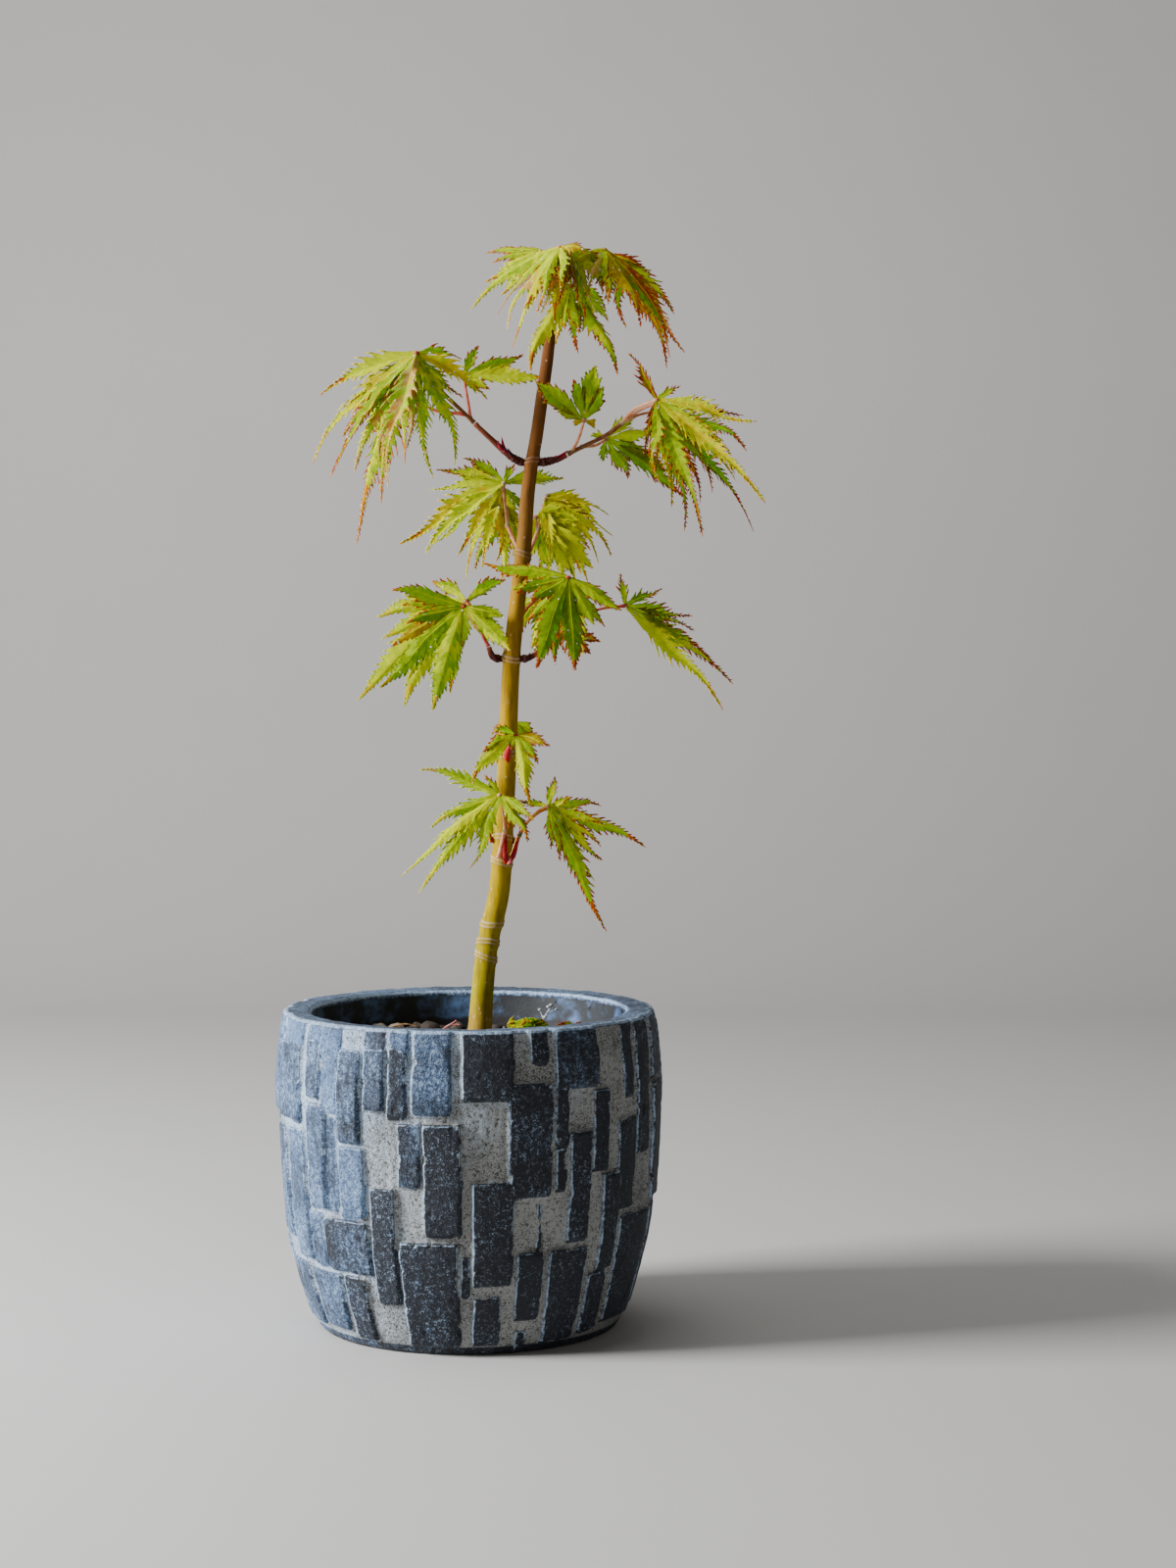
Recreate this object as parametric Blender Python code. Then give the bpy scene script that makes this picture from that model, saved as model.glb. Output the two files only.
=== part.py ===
"""A young japanese maple in a round cement pot, modelled at its real size.

The pot stands with its flat underside at z = 0 and its axis on the Z axis. The front is -Y and the
right is +X. Sizes in this file are in millimetres, and the meshes are made in metres. A heading is an
angle in plan, from 0 at the front through 90 at the right to 180 at the back.
"""

import math
import random
from typing import NamedTuple

import bmesh
import bpy
from mathutils import Vector

MM = 0.001
GAP = 0.3  # clearance left between neighbouring solids
UP = Vector((0, 0, 1))

# Pot
POT_HEIGHT = 115.0
POT_BASE_RADIUS = 52.5
POT_WALL_POINTS = ((1.6, 54.6), (7, 56.8), (19, 60.6), (37, 64.8), (55, 66.8), (72, 67.8), (90, 68.3),
                   (105, 67.4), (112, 66.5))  # height, radius of the wall between the slabs
POT_FLOOR = 9.0
POT_MOUTH_RADIUS = 57.0
POT_WELL_RADIUS = 51.5  # inside, just above the floor
WELL_CORNER = 6.0  # the slope between the floor and the inner wall
RIM_ROUND = 1.5
RIM_LEAN = 0.2
POT_SEGMENTS = 40

# Slabs cast on the pot wall: left and right edge in degrees from the middle, lower and upper edge,
# and how far the slab stands proud. The back carries the same slabs as the front, turned half round.
SLABS = (
    (-14, -3, 86, 112.5, 1.6), (0, 15, 91, 112.5, 2.0), (20, 26, 103, 112.5, 1.5),
    (27.5, 43, 94, 112.5, 2.1), (27.5, 32, 74, 95, 1.6), (13.5, 27, 57, 96.5, 1.8),
    (41, 47, 64, 93, 1.5), (61, 69, 67, 112.5, 1.8), (32.5, 40.5, 40, 79, 1.9), (45, 53, 28, 63, 2.1),
    (51, 61, 48.5, 81, 1.6), (3, 15.5, 26, 63, 2.0), (-11, 0, 44, 83, 2.2), (-19, -1, 3.5, 41.5, 2.0),
    (3, 12.5, 4, 22, 1.5), (16.5, 25.5, 13, 37.5, 1.7), (27, 41, 4, 38, 2.1), (42.5, 52, 5, 27, 1.6),
    (54, 73, 7, 46, 1.9), (-28, -20, 18, 60, 1.9), (-19, -12, 61, 83, 1.4), (-22, -16, 84.5, 109, 1.5),
    (-30, -23, 87, 108, 1.8), (-39, -31, 75, 107, 2.0), (-39, -30, 48, 73.5, 1.6),
    (-47, -29, 28.5, 47, 1.8), (-53, -45, 50, 87, 1.7), (-41, -32, 4, 27, 1.5), (-58, -43, 6, 27.5, 1.6),
    (-54, -47, 88.5, 109, 1.5), (-73, -57, 79, 106, 1.7), (-66, -55, 30, 76, 1.5),
    (-83, -69, 36, 75.5, 1.2), (-78, -61, 5, 28, 1.3), (-92, -76, 80, 112.5, 1.6),
    (-97, -86, 44, 77, 1.0), (-95, -81, 4, 41, 1.2), (71, 82, 49, 91, 2.7), (73, 84, 92.5, 112.5, 1.6),
    (76, 86, 9, 45.5, 1.4),
)
SLAB_ROOT = 2.5  # how far a slab runs back into the wall
SLAB_FACET_DEGREES = 9.5  # widest facet of a slab's curved face
SLAB_FACET_HEIGHT = 24.0  # tallest facet

# Soil
SOIL_TOP = 102.0
SOIL_EDGE_DROP = 4.0
SOIL_RINGS = ((50, 1.5), (42, 0), (30, 0), (18, 0), (8, 0))  # radius, drop below the top
SOIL_LOWEST_BUMP = -0.7
SOIL_HIGHEST_BUMP = 1.2
SOIL_BUMPS_FROM = 12.0  # radius outside which the soil is uneven
SOIL_SEGMENTS = 24
SOIL_SEED = 7

# Trunk: height, then x and y of its centre line
TRUNK_FOOT = SOIL_TOP + GAP
TRUNK_LINE = (
    (TRUNK_FOOT, 3.6, 1.0), (122, 5.0, 0.6), (139, 7.0, 0.2), (157, 11.0, -0.4), (176, 12.4, -0.6),
    (207, 14.1, -0.3), (239, 15.5, 0.2), (264, 17.9, 0.6), (284, 20.3, 0.4), (304, 21.9, 0.0),
    (325, 25.2, -0.3), (349, 28.6, 0.0), (363, 30.4, 0.6),
)
TRUNK_TAPER = ((TRUNK_FOOT, 5.0), (108, 4.35), (130, 3.95), (157, 3.75), (221, 3.3), (260, 2.95),
               (322, 2.3), (349, 2.2), (358, 1.9), (363, 1.2))  # height, radius
TRUNK_NODES = (133.5, 138.6, 145.7, 168.4, 176.5, 207, 241.8, 279, 312.7)
NODE_SWELL = 0.4
NODE_HALF_HEIGHT = 1.4
TRUNK_SIDES = 10
BARK_REACH = 1.5  # height above and below a stem's foot that its clearance from the bark covers

# Shoots and leaf stalks
SHOOT_SIDES = 6
SHOOT_RINGS = 7
STEM_SIDES = 5
STALK_SIDES = 3
STALK_RADIUS = 0.7
STALK_RINGS = 4
STALK_TIP = 0.7  # radius of a stalk's end, as a share of the stalk's
STALK_SINK = 0.8  # how far a stalk runs on past its leaf's base

# Leaves: deeply cut palms of lobes
LOBE_ROWS = (0.28, 0.5, 0.76, 1.0)  # where the blade is measured along a lobe
WEB_ROWS = 1  # rows from the base that neighbouring lobes share
LOBE_SHAPE = (0.8, 1.0, 0.62, 0.0)  # half width at each row, as a share of the widest
LOBE_HALF_WIDTH = 0.088  # widest half width, as a share of the lobe's length
LEAF_THICKNESS = 0.75
FOLD = 0.25  # how far the blade rises to each side of a rib, per unit of width


class Slab(NamedTuple):
    """One slab cast on the pot wall: its edges in degrees and millimetres, and its relief."""

    left: float
    right: float
    low: float
    high: float
    relief: float


class Shoot(NamedTuple):
    """A woody limb: where it leaves the trunk, its two end radii and the points it passes."""

    name: str
    height: float
    heading: float
    radii: tuple
    points: tuple


class Leaf(NamedTuple):
    """One leaf: its base point and its lobes in order round it.

    Each lobe is the direction and the length of the line from the base to its tip, seen from the front,
    with the direction as a clock angle: 0 up, 90 right. lean says how far the first, the middle and
    the last lobe point towards the viewer, in degrees. bow is how far a lobe arches above that line,
    and stalk holds the points that the leaf stalk passes before the base, from its foot outwards.
    """

    name: str
    base: tuple
    lobes: tuple
    lean: tuple
    bow: float
    stalk: tuple
    width: float = 1.0


class Mass(NamedTuple):
    """Leaves that grow from one stem, fused into one solid."""

    name: str
    stem: tuple
    radius: float
    leaves: tuple


SHOOTS = (
    Shoot("upper_left_shoot", 312.3, -92, (1.6, 0.9),
          ((14.7, -1, 315.1), (8, -1.5, 321), (2.6, -2, 326.2))),
    Shoot("upper_right_shoot", 312.3, 86, (1.6, 1.2), ((32.7, 1, 313.8), (35.6, 1, 315.2))),
    Shoot("mid_left_shoot", 241.6, -105, (1.2, 0.9), ((8.6, -2, 242.8), (7.6, -3, 245.6))),
    Shoot("mid_right_shoot", 241.6, 75, (1.2, 0.9), ((22.5, -2.2, 242.2), (25.5, -3, 244))),
)


def smooth_curve(points, count):
    """Evenly counted points on a smooth curve through the given points."""
    ends = [points[0] * 2 - points[1], *points, points[-1] * 2 - points[-2]]
    spans = len(points) - 1
    curve = []
    for step in range(count):
        place = step / (count - 1) * spans
        span = min(int(place), spans - 1)
        t = place - span
        a, b, c, d = ends[span:span + 4]
        curve.append(0.5 * (2 * b + (c - a) * t + (2 * a - 5 * b + 4 * c - d) * t * t
                            + (3 * b - a - 3 * c + d) * t ** 3))
    return curve


def along(table, place):
    """The value at a place in a table of (place, value) pairs, on a smooth curve between them."""
    last = len(table) - 1
    span = next((i for i in range(last) if place <= table[i + 1][0]), last - 1)
    (x0, y0), (x1, y1) = table[span], table[span + 1]
    before, after = table[max(span - 1, 0)], table[min(span + 2, last)]
    slope0 = (y1 - before[1]) / (x1 - before[0])
    slope1 = (after[1] - y0) / (after[0] - x0)
    width = x1 - x0
    t = min(max((place - x0) / width, 0.0), 1.0)
    return (y0 * (1 + 2 * t) * (1 - t) ** 2 + slope0 * width * t * (1 - t) ** 2
            + y1 * t * t * (3 - 2 * t) - slope1 * width * t * t * (1 - t))


def plan_direction(heading):
    """A unit vector at a heading in plan."""
    turn = math.radians(heading)
    return Vector((math.sin(turn), -math.cos(turn), 0))


def pot_wall(height):
    """Radius of the pot's outer wall between the slabs."""
    return along(POT_WALL_POINTS, height)


def trunk_centre(height):
    """Centre of the trunk at a height."""
    return Vector((along([(z, x) for z, x, _ in TRUNK_LINE], height),
                   along([(z, y) for z, _, y in TRUNK_LINE], height), height))


def trunk_radius(height):
    """Radius of the trunk at a height, with the swelling at each node."""
    near = min(abs(height - node) for node in TRUNK_NODES)
    swell = NODE_SWELL * max(0.0, 1 - near / NODE_HALF_HEIGHT)
    return along(TRUNK_TAPER, height) + swell


def beside_trunk(height, heading, towards, radius):
    """Where a shoot that runs towards a point starts: its flat foot just clear of the bark."""
    outwards = plan_direction(heading)
    bark = max(trunk_radius(height + step) for step in (-BARK_REACH, 0, BARK_REACH))
    clear = trunk_centre(height) + outwards * (bark + GAP)
    start = clear
    for _ in range(3):
        across = (Vector(towards) - start).normalized().dot(outwards)
        start = clear + outwards * radius * math.sqrt(max(0.0, 1 - across * across))
    return start


def material(name, colour, roughness, metallic=0.0):
    """A plain material of one colour."""
    made = bpy.data.materials.new(name)
    made.use_nodes = True
    shader = made.node_tree.nodes["Principled BSDF"]
    shader.inputs["Base Color"].default_value = (*colour, 1.0)
    shader.inputs["Roughness"].default_value = roughness
    shader.inputs["Metallic"].default_value = metallic
    made.diffuse_color = (*colour, 1.0)
    return made


def new_object(name, vertices, faces, collection=None):
    """An object from points in millimetres and faces, linked to the scene or to a collection."""
    mesh = bpy.data.meshes.new(name)
    mesh.from_pydata([tuple(Vector(v) * MM) for v in vertices], [], faces)
    mesh.validate()
    made = bpy.data.objects.new(name, mesh)
    (collection or bpy.context.scene.collection).objects.link(made)
    return made


def outward(obj):
    """Turns the faces of a closed mesh outwards."""
    mesh = bmesh.new()
    mesh.from_mesh(obj.data)
    bmesh.ops.recalc_face_normals(mesh, faces=mesh.faces)
    mesh.to_mesh(obj.data)
    mesh.free()
    return obj


def dress(obj, finish, sharp_degrees=None):
    """Gives an object its material, and smooth shading with its sharp edges kept."""
    obj.data.materials.clear()
    obj.data.materials.append(finish)
    if sharp_degrees is not None:
        obj.data.shade_smooth()
        obj.data.set_sharp_from_angle(angle=math.radians(sharp_degrees))
    return obj


def tube(name, path, radii, sides, collection=None):
    """A closed round limb along a path, with flat ends."""
    directions = [(path[min(i + 1, len(path) - 1)] - path[max(i - 1, 0)]).normalized()
                  for i in range(len(path))]
    across = directions[0].orthogonal().normalized()
    vertices = []
    for i, (centre, radius) in enumerate(zip(path, radii)):
        if i:
            across = directions[i - 1].rotation_difference(directions[i]) @ across
        over = directions[i].cross(across)
        for side in range(sides):
            turn = math.tau * side / sides
            vertices.append(centre + (across * math.cos(turn) + over * math.sin(turn)) * radius)
    faces = [(i * sides + s, i * sides + (s + 1) % sides,
              (i + 1) * sides + (s + 1) % sides, (i + 1) * sides + s)
             for i in range(len(path) - 1) for s in range(sides)]
    faces.append(tuple(reversed(range(sides))))
    faces.append(tuple(range(len(vertices) - sides, len(vertices))))
    return outward(new_object(name, vertices, faces, collection))


def turned(name, profile, segments, collection=None):
    """A closed solid turned about the Z axis from a profile that starts and ends on the axis."""
    vertices = [(0, 0, profile[0][1])]
    rings = profile[1:-1]
    for radius, height in rings:
        vertices += [plan_direction(360 * s / segments) * radius + UP * height for s in range(segments)]
    vertices.append((0, 0, profile[-1][1]))
    last = len(vertices) - 1
    faces = [(0, 1 + (s + 1) % segments, 1 + s) for s in range(segments)]
    for ring in range(len(rings) - 1):
        low, high = 1 + ring * segments, 1 + (ring + 1) * segments
        faces += [(low + s, low + (s + 1) % segments, high + (s + 1) % segments, high + s)
                  for s in range(segments)]
    top = 1 + (len(rings) - 1) * segments
    faces += [(top + s, top + (s + 1) % segments, last) for s in range(segments)]
    return outward(new_object(name, vertices, faces, collection))


def fuse(body, parts, self_crossing=False):
    """Joins everything in a collection onto a body with one Boolean union, then removes the parts.

    self_crossing says that a part may pass through itself, as the lobes of a hanging leaf do.
    """
    union = body.modifiers.new("Fuse", "BOOLEAN")
    union.operation = "UNION"
    union.operand_type = "COLLECTION"
    union.collection = parts
    union.solver = "EXACT"
    union.use_self = self_crossing
    graph = bpy.context.evaluated_depsgraph_get()
    graph.update()
    fused = bpy.data.meshes.new_from_object(body.evaluated_get(graph))
    body.modifiers.clear()
    body.data = fused
    for part in list(parts.objects):
        bpy.data.objects.remove(part)
    bpy.data.collections.remove(parts)
    return body


def parts_of(name):
    """A new collection in the scene for the parts of one solid."""
    parts = bpy.data.collections.new(name)
    bpy.context.scene.collection.children.link(parts)
    return parts


def all_slabs():
    """The slabs of the front and, turned half round, of the back, each with its relief."""
    front = [Slab(*edges) for edges in SLABS]
    back = [slab._replace(left=slab.left + 180, right=slab.right + 180) for slab in front]
    return front + back


def add_slab(slab, collection):
    """A curved block that follows the wall and stands proud of it by its relief."""
    columns = math.ceil((slab.right - slab.left) / SLAB_FACET_DEGREES) + 1
    rows = math.ceil((slab.high - slab.low) / SLAB_FACET_HEIGHT) + 1
    vertices = []
    for offset in (slab.relief, -SLAB_ROOT):
        for row in range(rows):
            height = slab.low + (slab.high - slab.low) * row / (rows - 1)
            for column in range(columns):
                angle = slab.left + (slab.right - slab.left) * column / (columns - 1)
                vertices.append(plan_direction(angle) * (pot_wall(height) + offset) + UP * height)
    inner = rows * columns
    faces = []
    for row in range(rows - 1):
        for column in range(columns - 1):
            a = row * columns + column
            quad = (a, a + 1, a + 1 + columns, a + columns)
            faces += [quad, tuple(i + inner for i in quad)]
    edge = [*range(columns), *range(2 * columns - 1, inner, columns),
            *range(inner - 2, inner - columns - 1, -1), *range(inner - 2 * columns, 0, -columns)]
    faces += [(a, b, b + inner, a + inner) for a, b in zip(edge, edge[1:] + edge[:1])]
    outward(new_object("slab", vertices, faces, collection))


def make_pot():
    """The pot: a turned cement wall and floor with the slabs cast on it."""
    top = POT_HEIGHT
    profile = [(0, 0), (POT_BASE_RADIUS, 0)]
    profile += [(radius, height) for height, radius in POT_WALL_POINTS]
    outer = POT_WALL_POINTS[-1][1]
    profile += [(outer - RIM_LEAN, top - RIM_ROUND), (outer - RIM_ROUND, top),
                (POT_MOUTH_RADIUS + RIM_ROUND, top), (POT_MOUTH_RADIUS, top - RIM_ROUND),
                (POT_WELL_RADIUS, POT_FLOOR + WELL_CORNER),
                (POT_WELL_RADIUS - WELL_CORNER, POT_FLOOR), (0, POT_FLOOR)]
    parts = parts_of("slabs")
    for slab in all_slabs():
        add_slab(slab, parts)
    pot = fuse(turned("pot", profile, POT_SEGMENTS), parts)
    return dress(pot, material("cement", (0.055, 0.06, 0.07), 0.85), 35)


def well_radius(height):
    """Radius of the pot's inner wall at a height."""
    low, high = POT_FLOOR + WELL_CORNER, POT_HEIGHT - RIM_ROUND
    return POT_WELL_RADIUS + (POT_MOUTH_RADIUS - POT_WELL_RADIUS) * (height - low) / (high - low)


def make_soil():
    """The soil: fills the pot to just under its rim, with an uneven top that sinks to the wall."""
    draw = random.Random(SOIL_SEED)
    floor, corner, edge = POT_FLOOR + GAP, POT_FLOOR + WELL_CORNER, SOIL_TOP - SOIL_EDGE_DROP
    profile = [(0, floor), (POT_WELL_RADIUS - WELL_CORNER - GAP, floor),
               (POT_WELL_RADIUS - 2 * GAP, corner), (well_radius(edge) - 2 * GAP, edge)]
    profile += [(radius, SOIL_TOP - drop) for radius, drop in SOIL_RINGS] + [(0, SOIL_TOP)]
    soil = turned("soil", profile, SOIL_SEGMENTS)
    for vertex in soil.data.vertices:
        spread = math.hypot(vertex.co.x, vertex.co.y) / MM
        if spread > SOIL_BUMPS_FROM and vertex.co.z > edge * MM + MM:
            vertex.co.z += draw.uniform(SOIL_LOWEST_BUMP, SOIL_HIGHEST_BUMP) * MM
    return dress(soil, material("earth", (0.045, 0.033, 0.024), 0.95), 60)


def make_trunk():
    """The trunk: one leaning, tapering stem with a ring at each node, from the soil to its tip."""
    heights = {height for height, _, _ in TRUNK_LINE} | {height for height, _ in TRUNK_TAPER}
    for node in TRUNK_NODES:
        heights |= {node - NODE_HALF_HEIGHT, node, node + NODE_HALF_HEIGHT}
    heights = sorted(heights)
    path = [trunk_centre(height) for height in heights]
    trunk = tube("trunk", path, [trunk_radius(height) for height in heights], TRUNK_SIDES)
    for vertex in trunk.data.vertices[:TRUNK_SIDES]:
        vertex.co.z = TRUNK_FOOT * MM
    return dress(trunk, material("young_bark", (0.30, 0.20, 0.045), 0.5), 50)


def make_shoot(shoot, bark):
    """A woody shoot: one tapering limb from just clear of the trunk to its fork."""
    foot, tip = shoot.radii
    start = beside_trunk(shoot.height, shoot.heading, shoot.points[0], foot)
    path = smooth_curve([start, *(Vector(p) for p in shoot.points)], SHOOT_RINGS)
    taper = [foot + (tip - foot) * i / (SHOOT_RINGS - 1) for i in range(SHOOT_RINGS)]
    return dress(tube(shoot.name, path, taper, SHOOT_SIDES), bark, 50)


def lobe_lean(leaf, share):
    """How far a lobe leans to the front, from the leaf's first, middle and last lean."""
    first, middle, last = leaf.lean
    if share < 0.5:
        return first + (middle - first) * share * 2
    return middle + (last - middle) * (share * 2 - 1)


def lobe_spans(leaf):
    """The line from the base to the tip of each lobe."""
    spans = []
    for i, (clock, length) in enumerate(leaf.lobes):
        lean = math.radians(lobe_lean(leaf, i / (len(leaf.lobes) - 1)))
        turn = math.radians(clock)
        spans.append(Vector((math.sin(turn), -math.tan(lean), math.cos(turn))) * length)
    return spans


def lobe_rows(leaf, spans, i):
    """Points down the middle of lobe i, each with its sideways and its upward direction."""
    span = spans[i]
    before, after = spans[max(i - 1, 0)].normalized(), spans[min(i + 1, len(spans) - 1)].normalized()
    along_rib = span.normalized()
    face = (after - before).cross(along_rib).normalized()
    arch = (UP - along_rib * along_rib.z).normalized()
    rows = []
    for t in LOBE_ROWS:
        point = Vector(leaf.base) + span * t + arch * span.length * leaf.bow * t * (1 - t)
        heading = (along_rib + arch * leaf.bow * (1 - 2 * t)).normalized()
        bent = along_rib.rotation_difference(heading)
        upward = bent @ face
        rows.append((point, heading.cross(upward).normalized(), upward))
    return rows


def leaf_blade(leaf):
    """Vertices and faces of a leaf's blade as one thin sheet, with the webs between its lobes."""
    spans = lobe_spans(leaf)
    lobes = [lobe_rows(leaf, spans, i) for i in range(len(spans))]
    vertices, faces = [Vector(leaf.base)], []

    def add(point):
        vertices.append(point)
        return len(vertices) - 1

    def free_edge(i, row, side):
        point, across, upward = lobes[i][row]
        half = LOBE_SHAPE[row] * LOBE_HALF_WIDTH * leaf.width * spans[i].length
        return add(point + (across * side + upward * FOLD) * half)

    ribs = [[add(row[0]) for row in lobe] for lobe in lobes]
    webs = [[add((lobes[i][row][0] + lobes[i + 1][row][0]) / 2) for row in range(WEB_ROWS)]
            for i in range(len(lobes) - 1)]
    last = len(LOBE_ROWS) - 1
    for i, rib in enumerate(ribs):
        for side in (-1, 1):
            inner = webs[min(i, i + side)] if 0 <= i + side < len(lobes) else None
            edge = inner or [free_edge(i, row, side) for row in range(WEB_ROWS)]
            edge = edge + [free_edge(i, row, side) for row in range(WEB_ROWS, last)]
            strip = [(0, rib[0], edge[0])]
            strip += [(rib[r], rib[r + 1], edge[r + 1], edge[r]) for r in range(last - 1)]
            strip.append((rib[last - 1], rib[last], edge[last - 1]))
            faces += strip if side > 0 else [tuple(reversed(face)) for face in strip]
    return vertices, faces


def add_leaf(leaf, collection):
    """A leaf as a thin closed solid."""
    blade = new_object(leaf.name, *leaf_blade(leaf), collection)
    thicken = blade.modifiers.new("Thickness", "SOLIDIFY")
    thicken.thickness = LEAF_THICKNESS * MM
    thicken.offset = 0.0
    return blade


def add_stalk(leaf, collection):
    """A leaf stalk from its foot to just past the leaf's base."""
    path = smooth_curve([*(Vector(p) for p in leaf.stalk), Vector(leaf.base)], STALK_RINGS)
    path.append(path[-1] + (path[-1] - path[-2]).normalized() * STALK_SINK)
    radii = [STALK_RADIUS] * STALK_RINGS + [STALK_RADIUS * STALK_TIP]
    tube(leaf.name + "_stalk", path, radii, STALK_SIDES, collection)


def make_mass(mass, finish):
    """One mass of foliage: its stem, leaf stalks and leaves fused into one solid."""
    stem = [Vector(p) for p in mass.stem]
    rings = 2 * len(stem) - 1
    body = tube(mass.name, smooth_curve(stem, rings), [mass.radius] * rings, STEM_SIDES)
    parts = parts_of(mass.name + "_parts")
    for leaf in mass.leaves:
        add_stalk(leaf, parts)
        add_leaf(leaf, parts)
    return dress(fuse(body, parts, self_crossing=True), finish)


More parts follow.
